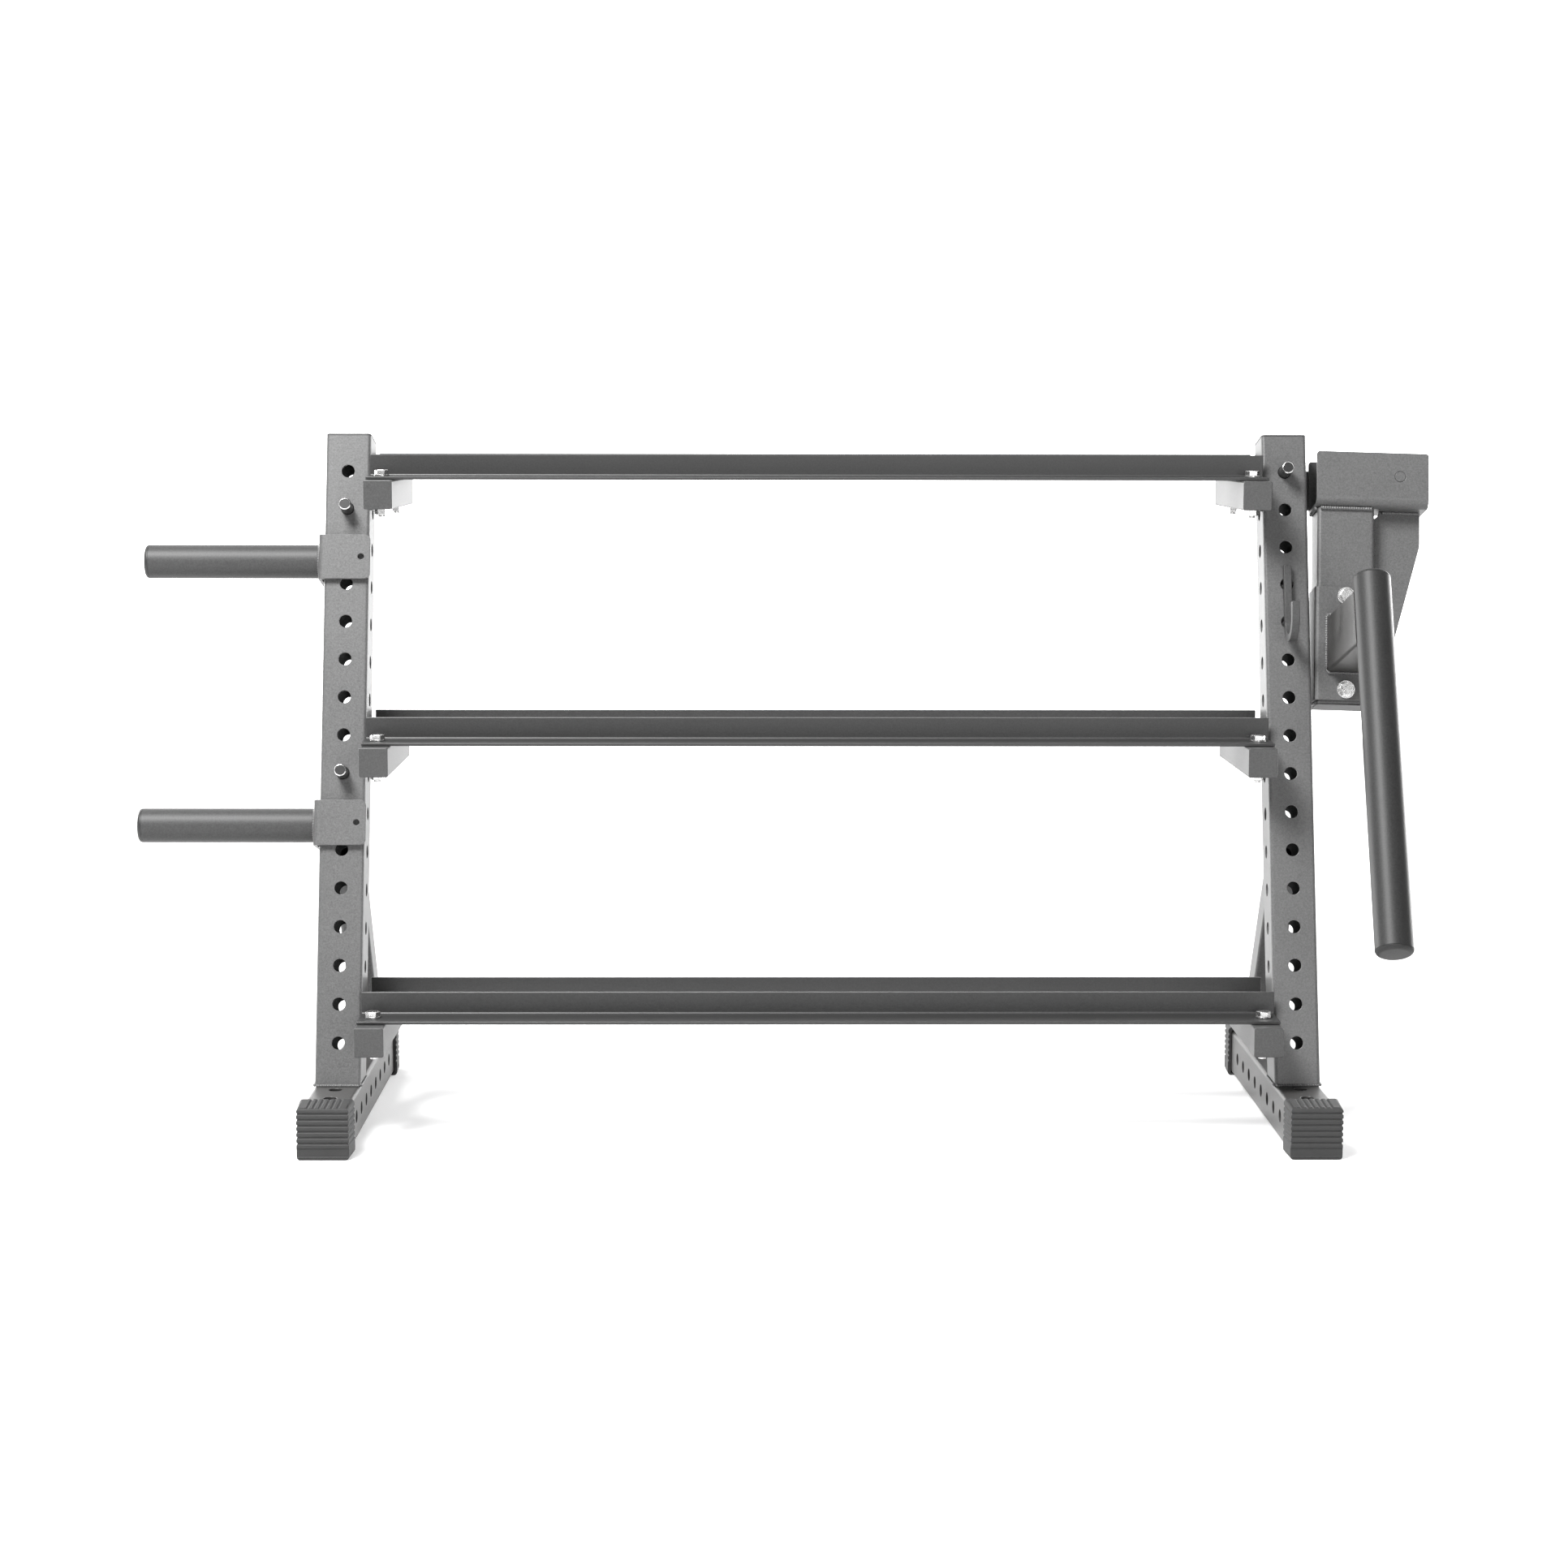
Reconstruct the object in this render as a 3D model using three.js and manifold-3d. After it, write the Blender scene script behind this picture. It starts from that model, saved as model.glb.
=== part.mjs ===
// Three-tier dumbbell rack on two leaning uprights, with two plate pegs on the
// left, a roller-bar attachment and an accessory hook on the right.
// Millimetres, X to the right, Y to the back, Z up, floor at Z = 0.
import * as THREE from 'three';
import { mergeVertices } from 'three/addons/utils/BufferGeometryUtils.js';
import Module from 'manifold-3d';

const wasm = await Module();
wasm.setup();
const { Manifold, Mesh: ManifoldMesh } = wasm;

const rad = THREE.MathUtils.degToRad;

// Overall sizes
const RACK_WIDTH = 1312; // over the outer faces of the uprights
const FOOT_LENGTH = 558; // over both rubber caps
const UPRIGHT_LENGTH = 870; // along the leaning upright, from the foot's top
const LEAN = rad(14); // uprights lean back from vertical

// Fits
const GAP = 0.3; // between parts that touch
const PIN_CLEARANCE = 0.5; // radial, pin in a tube hole
const SHANK_CLEARANCE = 0.3; // radial, bolt in its hole

// Uprights and feet
const TUBE = 60;
const TUBE_WALL = 3;
const PITCH = 50.8; // 2 in hole spacing
const PIN_R = 8;
const HOLE_R = PIN_R + PIN_CLEARANCE;
const TOP_HOLE_DROP = 51.7; // top hole below the upright's top
const LOWEST_HOLE = 50; // no hole centre is nearer the foot than this
const LID = 2.2; // plate that closes an upright's top
const SPIGOT = 12; // how far lids and plugs reach into their tubes
const FOOT_FRONT = -145.6; // front face of the foot's front cap
const SIDE_HOLE_SETBACK = 102.9; // first hole in the foot's sides, behind that face
const TOP_HOLE_SETBACK = 74.8; // first hole in the foot's top

// Rubber caps on the feet
const CAP_LENGTH = 46;
const CAP_FACE = 4;
const CAP_FLOOR = 3.5; // rubber under the foot tube
const CAP_SIDE = 3; // rubber beside the tube at the closed end
const CAP_SIDE_MOUTH = 5;
const CAP_TOP = 3.3; // rubber over the tube at the closed end
const CAP_TOP_MOUTH = 5.5;
const CAP_CHAMFER = 4;
const GROOVE_MARGIN = 5; // above the top groove
const GROOVE_WIDTH = 2.6;
const GROOVE_DEPTH = 1.2;
const GROOVE_FIRST = 20;
const GROOVE_STEP = 7.6;

// Braces between feet and uprights
const BRACE = 38;
const BRACE_WALL = 2.5;
const BRACE_SETBACK = 77.9; // brace's lower end ahead of the foot's rear face
const BRACE_CLEARANCE = 1.782; // under the lower peg's rear plate

// Shelves: an arm at each side, two angle rails on top
const BOTTOM_TIER_RISE = 70.2; // bottom arms above the foot's top
const TOP_TIER_DROP = 79.457; // top arms below the upright's top
const MIDDLE_TIER_RISE = 3.85; // middle arms above half way
const ARM = 38.1;
const ARM_WALL = 3;
const ARM_TAIL = 11.5; // arm's rear end behind the rear rail
const ARM_REACH = 81.7; // arm's front end ahead of the upright's front face
const RAIL_EDGE = 23.5; // rail's front edge behind the arm's front end
const RAIL_FLANGE = 58;
const RAIL_LEG = 32.5;
const RAIL_THICK = 4;
const RAIL_SPACE = 108; // between the two legs' matching faces

// Shelf bolts, M10
const BOLT_R = 5;
const HEX_FLATS = 17;
const HEAD_HEIGHT = 6.4;
const NUT_HEIGHT = 8;
const WASHER_R = 10;
const WASHER_THICK = 2;

// Plate pegs on the left upright
const PEG_DROP = 66.5; // bracket's middle below its pin
const BRACKET_HEIGHT = 60;
const BRACKET_PLATE = 5;
const BRACKET_PLAY = 2.3; // between the bracket and the upright
const BRACKET_LAP = 2; // front plate past the upright's inner face
const REAR_PLATE_WIDTH = 44;
const REAR_PLATE_DROP = 61; // below the pin, short enough to swing past the brace
const PEG_R = 22.5;
const PEG_WALL = 2.5;
const PEG_LENGTH = 234.5; // from the bracket's web to the peg's end
const PEG_END = 5;
const PIN_STICKOUT = 30;
const PIN_HEAD_LIP = 3; // head's edge outside the pin
const PIN_HEAD = 7;

// Roller-bar attachment on the right upright, measured from its pin
const DROOP = rad(1.7); // it hangs turned a little about its pin
const CHANNEL = { apart: 13, length: 150, drop: 44, rise: 30, wall: 4.7, bend: 9 };
const BACK_PLATE = { edge: 6, lap: 57, drop: 36, rise: 18, thick: 5 };
const CROSS_PIN = { fromEnd: 38.3, fromTop: 32.2, r: 7 };
const POST = { width: 76, inset: 10, length: 268, wall: 3, cap: 2 };
const GUSSET = { fromEnd: 6, knee: 47, toe: 7.7, rise: 3, notch: 10, thick: 8 };
const CLAMP = { thick: 3, rise: 6, height: 153, wrapShort: 2 };
const CLAMP_BOLT_EDGE = 12.5; // upper bolt below the clamp's top edge
const CLAMP_BOLT_RISE = 14.5; // lower bolt above its bottom edge
const CLAMP_WASHER_R = 12;
const STRUT = { width: 50, height: 75, rise: 38, wall: 3 };
const BAR_R = 23.75;
const BAR_WALL = 3;
const BAR_TOP = { reach: 171.7, fromClamp: 18 };
const BAR_DROP = 497; // bar's lower end below its upper end
const BAR_SPREAD = 155; // and ahead of it
const BAR_CAP = 5;

// Accessory hook, square bar bent to a J
const HOOK_BAR = 10;
const PRONG_CLEARANCE = 1; // radial, prong in its hole
const HOOK_PRONG_LENGTH = 25;
const HOOK_BEND_R = 28;
const HOOK_TOP_RISE = 24; // above the upper prong
const HOOK_TIP_RISE = 15; // above the bend's centre

const HALF = RACK_WIDTH / 2;
const FOOT_TOP = CAP_FLOOR + TUBE;
const FOOT_REAR = FOOT_FRONT + FOOT_LENGTH;
const HOLE_COUNT = Math.floor((UPRIGHT_LENGTH - TOP_HOLE_DROP - LOWEST_HOLE) / PITCH) + 1;
const CAP_END_WIDTH = TUBE + 2 * CAP_SIDE;
const CAP_MOUTH_WIDTH = TUBE + 2 * CAP_SIDE_MOUTH;
const CAP_END_HEIGHT = FOOT_TOP + CAP_TOP;
const CAP_MOUTH_HEIGHT = FOOT_TOP + CAP_TOP_MOUTH;
const ARM_LENGTH = RAIL_EDGE + 2 * RAIL_FLANGE - RAIL_THICK + RAIL_SPACE + ARM_TAIL;
const PIN_HEAD_R = PIN_R + PIN_HEAD_LIP;

// Shelf heights: the arms' middles above the floor
const bottomTier = FOOT_TOP + BOTTOM_TIER_RISE;
const topTier = FOOT_TOP + UPRIGHT_LENGTH * Math.cos(LEAN) - TOP_TIER_DROP;
const TIERS = [
  { name: 'bottom', z: bottomTier },
  { name: 'middle', z: (bottomTier + topTier) / 2 + MIDDLE_TIER_RISE },
  { name: 'top', z: topTier },
];

// Hole centres along an upright, counted from the bottom.
function holeHeight(index) {
  return UPRIGHT_LENGTH - TOP_HOLE_DROP - (HOLE_COUNT - 1 - index) * PITCH;
}

// Highest hole from which a peg's bracket still hangs clear under a tier's arm.
function holeUnder(tier) {
  const bracketTop = (hole) => FOOT_TOP
    + (holeHeight(hole) - PEG_DROP + BRACKET_HEIGHT / 2) * Math.cos(LEAN)
    + (BRACKET_PLAY + BRACKET_PLATE) * Math.sin(LEAN);
  let hole = HOLE_COUNT - 1;
  while (bracketTop(hole) > tier.z - ARM / 2 - GAP) hole -= 1;
  return hole;
}

const PEG_PINS = [
  { name: 'upper', hole: holeUnder(TIERS[2]) },
  { name: 'lower', hole: holeUnder(TIERS[1]) },
];
const ATTACH_HOLE = HOLE_COUNT - 1;
const HOOK_HOLES = [HOLE_COUNT - 4, HOLE_COUNT - 5];

// The brace runs from the foot's rear to just under the lower peg's rear plate.
const braceFootY = FOOT_REAR - BRACE_SETBACK;
const braceTop = holeHeight(PEG_PINS[1].hole) - REAR_PLATE_DROP - BRACE_CLEARANCE;
let braceAngle = LEAN;
for (let i = 0; i < 30; i += 1) {
  const head = braceTop - BRACE / 2 / Math.sin(braceAngle + LEAN);
  const headY = head * Math.sin(LEAN) + TUBE * Math.cos(LEAN);
  const headZ = head * Math.cos(LEAN) - TUBE * Math.sin(LEAN);
  braceAngle = Math.atan2(braceFootY - headY, headZ);
}

// Materials
function paint(color, roughness, metalness) {
  return new THREE.MeshStandardMaterial({ color, roughness, metalness });
}
const powder = paint(0x3b3b3d, 0.62, 0.25);
const dark = paint(0x242426, 0.55, 0.25);
const rubber = paint(0x2c2c2d, 0.85, 0);
const zinc = paint(0xc9ccd0, 0.3, 0.9);
const plastic = paint(0x1b1b1c, 0.5, 0);

// Geometry helpers
function solid(geometry) {
  const bare = new THREE.BufferGeometry();
  bare.setAttribute('position', geometry.getAttribute('position'));
  if (geometry.index) bare.setIndex(geometry.index);
  const merged = mergeVertices(bare, 1e-4);
  return new Manifold(new ManifoldMesh({
    numProp: 3,
    vertProperties: new Float32Array(merged.getAttribute('position').array),
    triVerts: new Uint32Array(merged.index.array),
  }));
}

function block(x0, x1, y0, y1, z0, z1) {
  const box = new THREE.BoxGeometry(x1 - x0, y1 - y0, z1 - z0);
  return solid(box.translate((x0 + x1) / 2, (y0 + y1) / 2, (z0 + z1) / 2));
}

// Round bar between two points; its flats touch the radius when it cuts a hole.
function rodGeometry(a, b, radius, sides, turn = 0) {
  const from = new THREE.Vector3(...a);
  const along = new THREE.Vector3(...b).sub(from);
  const rod = new THREE.CylinderGeometry(radius, radius, along.length(), sides);
  rod.rotateY(turn);
  const up = new THREE.Vector3(0, 1, 0);
  rod.applyQuaternion(new THREE.Quaternion().setFromUnitVectors(up, along.clone().normalize()));
  const middle = from.addScaledVector(along, 0.5);
  return rod.translate(middle.x, middle.y, middle.z);
}

function rod(a, b, radius, sides = 12, turn = 0) {
  return solid(rodGeometry(a, b, radius, sides, turn));
}

function drill(a, b, radius, sides = 8) {
  return rod(a, b, radius / Math.cos(Math.PI / sides), sides, Math.PI / sides);
}

// Outline of [x, z] points, pushed along Y from y0 to y1.
function slab(points, y0, y1) {
  const shape = new THREE.Shape(points.map(([x, z]) => new THREE.Vector2(x, z)));
  const body = new THREE.ExtrudeGeometry(shape, { depth: y1 - y0, bevelEnabled: false });
  body.rotateX(Math.PI / 2);
  return solid(body.translate(0, y1, 0));
}

// Outline of [y, z] points, pushed along X from x0 to x1.
function profile(points, x0, x1) {
  const shape = new THREE.Shape(points.map(([y, z]) => new THREE.Vector2(y, z)));
  const body = new THREE.ExtrudeGeometry(shape, { depth: x1 - x0, bevelEnabled: false });
  body.applyMatrix4(new THREE.Matrix4().makeBasis(
    new THREE.Vector3(0, 1, 0),
    new THREE.Vector3(0, 0, 1),
    new THREE.Vector3(1, 0, 0),
  ));
  return solid(body.translate(x0, 0, 0));
}

// Closed skin over a row of rings that all have the same number of points.
function skin(rings) {
  const count = rings[0].length;
  const points = [];
  const faces = [];
  for (const ring of rings) {
    for (const p of ring) points.push(...p);
  }
  for (let r = 0; r + 1 < rings.length; r += 1) {
    for (let i = 0; i < count; i += 1) {
      const j = (i + 1) % count;
      const a = r * count;
      const b = a + count;
      faces.push(a + i, a + j, b + j, a + i, b + j, b + i);
    }
  }
  const last = (rings.length - 1) * count;
  for (let i = 1; i + 1 < count; i += 1) {
    faces.push(0, i + 1, i);
    faces.push(last, last + i, last + i + 1);
  }
  const body = new THREE.BufferGeometry();
  body.setAttribute('position', new THREE.Float32BufferAttribute(points, 3));
  body.setIndex(faces);
  return body;
}

function solidSkin(rings) {
  const body = solid(skin(rings));
  return body.volume() > 0 ? body : solid(skin(rings.map((ring) => [...ring].reverse())));
}

// Square bar along points [y, z] that lie in the plane X = x.
function bentBar(x, path, size) {
  const rings = path.map(([y, z], i) => {
    const before = path[Math.max(i - 1, 0)];
    const after = path[Math.min(i + 1, path.length - 1)];
    const length = Math.hypot(after[0] - before[0], after[1] - before[1]);
    const ny = -(after[1] - before[1]) / length;
    const nz = (after[0] - before[0]) / length;
    const h = size / 2;
    return [[-h, -h], [h, -h], [h, h], [-h, h]].map(([u, v]) => [x + u, y + v * ny, z + v * nz]);
  });
  return solidSkin(rings);
}

// Frame of the uprights: X across, Y behind the front face, Z up the upright.
const leaning = new THREE.Matrix4()
  .makeTranslation(0, 0, FOOT_TOP)
  .multiply(new THREE.Matrix4().makeRotationX(-LEAN));

function moved(body, matrix) {
  return body.transform(matrix.elements);
}

const rack = new THREE.Group();
rack.name = 'dumbbell_rack';

function add(name, body, material, matrix) {
  const mesh = (matrix ? moved(body, matrix) : body).getMesh();
  const geometry = new THREE.BufferGeometry();
  geometry.setAttribute('position', new THREE.BufferAttribute(mesh.vertProperties, 3));
  geometry.setIndex(new THREE.BufferAttribute(mesh.triVerts, 1));
  const part = new THREE.Mesh(geometry, material);
  part.name = name;
  rack.add(part);
}

function underFloorOfUpright() {
  const below = block(-HALF - 50, HALF + 50, -900, 900, -600, FOOT_TOP + GAP);
  return moved(below, leaning.clone().invert());
}

function addUpright(side, sideName) {
  const x0 = side < 0 ? -HALF : HALF - TUBE;
  const x1 = x0 + TUBE;
  const middle = (x0 + x1) / 2;
  const top = UPRIGHT_LENGTH - LID - GAP;
  const cuts = [
    block(x0 + TUBE_WALL, x1 - TUBE_WALL, TUBE_WALL, TUBE - TUBE_WALL, -60, top + 1),
    underFloorOfUpright(),
  ];
  for (let k = 0; k < HOLE_COUNT; k += 1) {
    const s = holeHeight(k);
    cuts.push(drill([middle, -1, s], [middle, TUBE + 1, s], HOLE_R));
    cuts.push(drill([x0 - 1, TUBE / 2, s], [x1 + 1, TUBE / 2, s], HOLE_R));
  }
  const tube = block(x0, x1, 0, TUBE, -50, top).subtract(Manifold.union(cuts));
  add(`upright_${sideName}`, tube, powder, leaning);

  const inset = TUBE_WALL + GAP;
  const plug = block(x0 + inset, x1 - inset, inset, TUBE - inset, top - SPIGOT, top + GAP + 0.5);
  const lid = block(x0, x1, 0, TUBE, top + GAP, UPRIGHT_LENGTH).add(plug);
  add(`upright_lid_${sideName}`, lid, plastic, leaning);
}

function addFoot(side, sideName) {
  const x0 = side < 0 ? -HALF : HALF - TUBE;
  const x1 = x0 + TUBE;
  const middle = (x0 + x1) / 2;
  const y0 = FOOT_FRONT + CAP_FACE + GAP;
  const y1 = FOOT_REAR - CAP_FACE - GAP;
  const inside = block(
    x0 + TUBE_WALL, x1 - TUBE_WALL, y0 - 1, y1 + 1, CAP_FLOOR + TUBE_WALL, FOOT_TOP - TUBE_WALL,
  );
  const cuts = [inside];
  const z = CAP_FLOOR + TUBE / 2;
  for (let y = FOOT_FRONT + SIDE_HOLE_SETBACK; y < FOOT_REAR - CAP_LENGTH - HOLE_R; y += PITCH) {
    cuts.push(drill([x0 - 1, y, z], [x1 + 1, y, z], HOLE_R));
  }
  const braceFront = braceFootY - BRACE / 2 / Math.cos(braceAngle);
  const uprightRear = TUBE / Math.cos(LEAN);
  for (let y = FOOT_FRONT + TOP_HOLE_SETBACK; y < braceFront - HOLE_R; y += PITCH) {
    const underUpright = y > -HOLE_R && y < uprightRear + HOLE_R;
    if (!underUpright) cuts.push(drill([middle, y, FOOT_TOP - 10], [middle, y, FOOT_TOP + 1], HOLE_R));
  }
  const tube = block(x0, x1, y0, y1, CAP_FLOOR, FOOT_TOP).subtract(Manifold.union(cuts));
  add(`foot_${sideName}`, tube, powder);

  addFootCap(middle, FOOT_FRONT, 1, `foot_cap_front_${sideName}`);
  addFootCap(middle, FOOT_REAR, -1, `foot_cap_rear_${sideName}`);
}

// Rubber sleeve over a foot's end; inward is +1 when it opens towards +Y.
function addFootCap(x, face, inward, name) {
  const ring = (y, width, height) => {
    const w = width / 2;
    const c = CAP_CHAMFER;
    return [
      [x - w + c, y, 0], [x + w - c, y, 0], [x + w, y, c], [x + w, y, height - c],
      [x + w - c, y, height], [x - w + c, y, height], [x - w, y, height - c], [x - w, y, c],
    ];
  };
  const mouth = face + inward * CAP_LENGTH;
  const outer = solidSkin([
    ring(face, CAP_END_WIDTH - 4, CAP_END_HEIGHT - 1.5),
    ring(face + inward * 3, CAP_END_WIDTH, CAP_END_HEIGHT),
    ring(mouth, CAP_MOUTH_WIDTH, CAP_MOUTH_HEIGHT),
  ]);
  const half = TUBE / 2 + GAP;
  const ends = [face + inward * CAP_FACE, mouth + inward].sort((a, b) => a - b);
  const cuts = [block(x - half, x + half, ends[0], ends[1], CAP_FLOOR - GAP, FOOT_TOP + GAP)];
  const grooves = [face - inward, face + inward * GROOVE_DEPTH].sort((a, b) => a - b);
  const last = CAP_END_HEIGHT - GROOVE_MARGIN - GROOVE_WIDTH;
  for (let z = GROOVE_FIRST; z < last; z += GROOVE_STEP) {
    cuts.push(block(x - 50, x + 50, grooves[0], grooves[1], z, z + GROOVE_WIDTH));
  }
  add(name, outer.subtract(Manifold.union(cuts)), rubber);
}

function addBrace(side, sideName) {
  const x = side * (HALF - TUBE / 2);
  const bar = (size, length) => {
    const box = new THREE.BoxGeometry(size, size, length).translate(0, 0, 200);
    return solid(box.rotateX(braceAngle).translate(x, braceFootY, FOOT_TOP));
  };
  const cuts = [
    bar(BRACE - 2 * BRACE_WALL, 702),
    block(-HALF - 50, HALF + 50, -900, 900, -600, FOOT_TOP + GAP),
    moved(block(-HALF - 50, HALF + 50, -900, TUBE + GAP, -900, 1500), leaning),
  ];
  const brace = bar(BRACE, 700).subtract(Manifold.union(cuts));
  add(`brace_${sideName}`, brace, powder);
}

// Y of an arm's front end, from the upright's lean at the arm's height.
function armFront(tier) {
  return (tier.z - FOOT_TOP) * Math.tan(LEAN) - ARM_REACH;
}

const BOLT_LINES = [
  { name: 'front', y: RAIL_EDGE + (RAIL_FLANGE - RAIL_THICK) / 2 },
  { name: 'rear', y: RAIL_EDGE + RAIL_FLANGE - RAIL_THICK + RAIL_SPACE + (RAIL_FLANGE + RAIL_THICK) / 2 },
];

function boltX(side) {
  return side * (HALF - TUBE - ARM / 2);
}

function addArm(tier, side, sideName) {
  const outer = side * (HALF - TUBE - GAP);
  const inner = side * (HALF - TUBE - ARM);
  const [x0, x1] = [outer, inner].sort((a, b) => a - b);
  const y0 = armFront(tier);
  const y1 = y0 + ARM_LENGTH;
  const z0 = tier.z - ARM / 2;
  const z1 = tier.z + ARM / 2;
  const w = ARM_WALL;
  const cuts = [block(x0 + w, x1 - w, y0 + w, y1 - w, z0 + w, z1 - w)];
  for (const line of BOLT_LINES) {
    const y = y0 + line.y;
    cuts.push(drill([boltX(side), y, z0 - 1], [boltX(side), y, z1 + 1], BOLT_R + SHANK_CLEARANCE));
  }
  const arm = block(x0, x1, y0, y1, z0, z1).subtract(Manifold.union(cuts));
  add(`shelf_arm_${tier.name}_${sideName}`, arm, powder);
}

// Angle with its upright leg towards the middle of the shelf.
function addRail(tier, line, facing) {
  const z0 = tier.z + ARM / 2 + GAP;
  const y0 = armFront(tier) + RAIL_EDGE;
  const edge = facing > 0 ? y0 : y0 + 2 * RAIL_FLANGE - RAIL_THICK + RAIL_SPACE;
  const at = (y) => edge + facing * y;
  const outline = [
    [at(0), z0], [at(RAIL_FLANGE), z0], [at(RAIL_FLANGE), z0 + RAIL_LEG],
    [at(RAIL_FLANGE - RAIL_THICK), z0 + RAIL_LEG],
    [at(RAIL_FLANGE - RAIL_THICK), z0 + RAIL_THICK], [at(0), z0 + RAIL_THICK],
  ];
  if (facing < 0) outline.reverse();
  const reach = HALF - TUBE - 2 * GAP;
  const y = armFront(tier) + line.y;
  const cuts = [-1, 1].map((side) => drill(
    [boltX(side), y, z0 - 1], [boltX(side), y, z0 + RAIL_THICK + 1], BOLT_R + SHANK_CLEARANCE,
  ));
  const rail = profile(outline, -reach, reach).subtract(Manifold.union(cuts));
  add(`shelf_rail_${tier.name}_${line.name}`, rail, dark);
}

// Hex bolt with its washer and nut, along Z; grip is the stack between them.
function hexBolt(x, y, top, bottom) {
  const hexR = HEX_FLATS / 2 / Math.cos(Math.PI / 6);
  const washerTop = top + WASHER_THICK;
  return Manifold.union([
    rod([x, y, washerTop - 0.5], [x, y, washerTop + HEAD_HEIGHT], hexR, 6),
    rod([x, y, top], [x, y, washerTop], WASHER_R, 12),
    rod([x, y, bottom - NUT_HEIGHT - 3], [x, y, top + 0.5], BOLT_R, 8),
    rod([x, y, bottom - NUT_HEIGHT], [x, y, bottom], hexR, 6),
  ]);
}

function addShelf(tier) {
  addArm(tier, -1, 'left');
  addArm(tier, 1, 'right');
  addRail(tier, BOLT_LINES[0], 1);
  addRail(tier, BOLT_LINES[1], -1);
  for (const line of BOLT_LINES) {
    for (const [side, sideName] of [[-1, 'left'], [1, 'right']]) {
      const top = tier.z + ARM / 2 + RAIL_THICK + 2 * GAP;
      const bottom = tier.z - ARM / 2 - GAP;
      const bolt = hexBolt(boltX(side), armFront(tier) + line.y, top, bottom);
      add(`shelf_bolt_${tier.name}_${line.name}_${sideName}`, bolt, zinc);
    }
  }
}

function addPeg({ name, hole }) {
  const pinHeight = holeHeight(hole);
  const s = pinHeight - PEG_DROP;
  const pinX = -HALF + TUBE / 2;
  const web = -HALF - BRACKET_PLAY - 0.2;
  const outside = web - BRACKET_PLATE;
  const end = -HALF + TUBE + BRACKET_LAP;
  const front = -BRACKET_PLAY;
  const rear = TUBE + BRACKET_PLAY;
  const c = 6;
  const low = s - BRACKET_HEIGHT / 2;
  const high = s + BRACKET_HEIGHT / 2;
  const plate = [
    [outside, low], [end - c, low], [end, low + c], [end, high - c], [end - c, high], [outside, high],
  ];
  const crown = pinHeight + 21;
  const rearLow = pinHeight - REAR_PLATE_DROP;
  const half = REAR_PLATE_WIDTH / 2;
  const rearPlate = [
    [outside, rearLow], [pinX + half, rearLow], [pinX + half, crown - 9], [pinX + 13, crown],
    [pinX - 13, crown], [pinX - half, crown - 9], [pinX - half, high + 4], [outside, high],
  ];
  const bracket = slab(plate, front - BRACKET_PLATE, front)
    .add(slab(rearPlate, rear, rear + BRACKET_PLATE))
    .add(block(outside, web, front - BRACKET_PLATE, rear + BRACKET_PLATE, low, high))
    .subtract(drill([end - 12.5, front - 9, s], [end - 12.5, front + 1, s], 4))
    .subtract(drill([pinX, rear - 1, pinHeight], [pinX, rear + 9, pinHeight], PIN_R + GAP, 12));
  add(`peg_bracket_${name}`, bracket, powder, leaning);

  const back = rear + BRACKET_PLATE;
  const head = rod([pinX, back + GAP, pinHeight], [pinX, back + GAP + PIN_HEAD, pinHeight], PIN_HEAD_R, 12);
  const shaft = rod([pinX, -PIN_STICKOUT + 2, pinHeight], [pinX, back + 2, pinHeight], PIN_R, 12);
  const nose = rod([pinX, -PIN_STICKOUT, pinHeight], [pinX, 0, pinHeight], PIN_R - 2, 12);
  add(`peg_pin_${name}`, Manifold.union([head, shaft, nose]), dark, leaning);

  const y = TUBE / 2;
  const tip = outside - PEG_LENGTH;
  const tubeEnd = tip + PEG_END + GAP;
  const tube = rod([tubeEnd, y, s], [outside - GAP, y, s], PEG_R, 20)
    .subtract(rod([tubeEnd - 1, y, s], [outside + 1, y, s], PEG_R - PEG_WALL, 20));
  add(`peg_tube_${name}`, tube, dark, leaning);
  const plug = rod([tip, y, s], [tip + PEG_END, y, s], PEG_R, 20)
    .add(rod([tip + 1, y, s], [tubeEnd + SPIGOT, y, s], PEG_R - PEG_WALL - GAP, 20));
  add(`peg_end_${name}`, plug, plastic, leaning);
}

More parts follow.
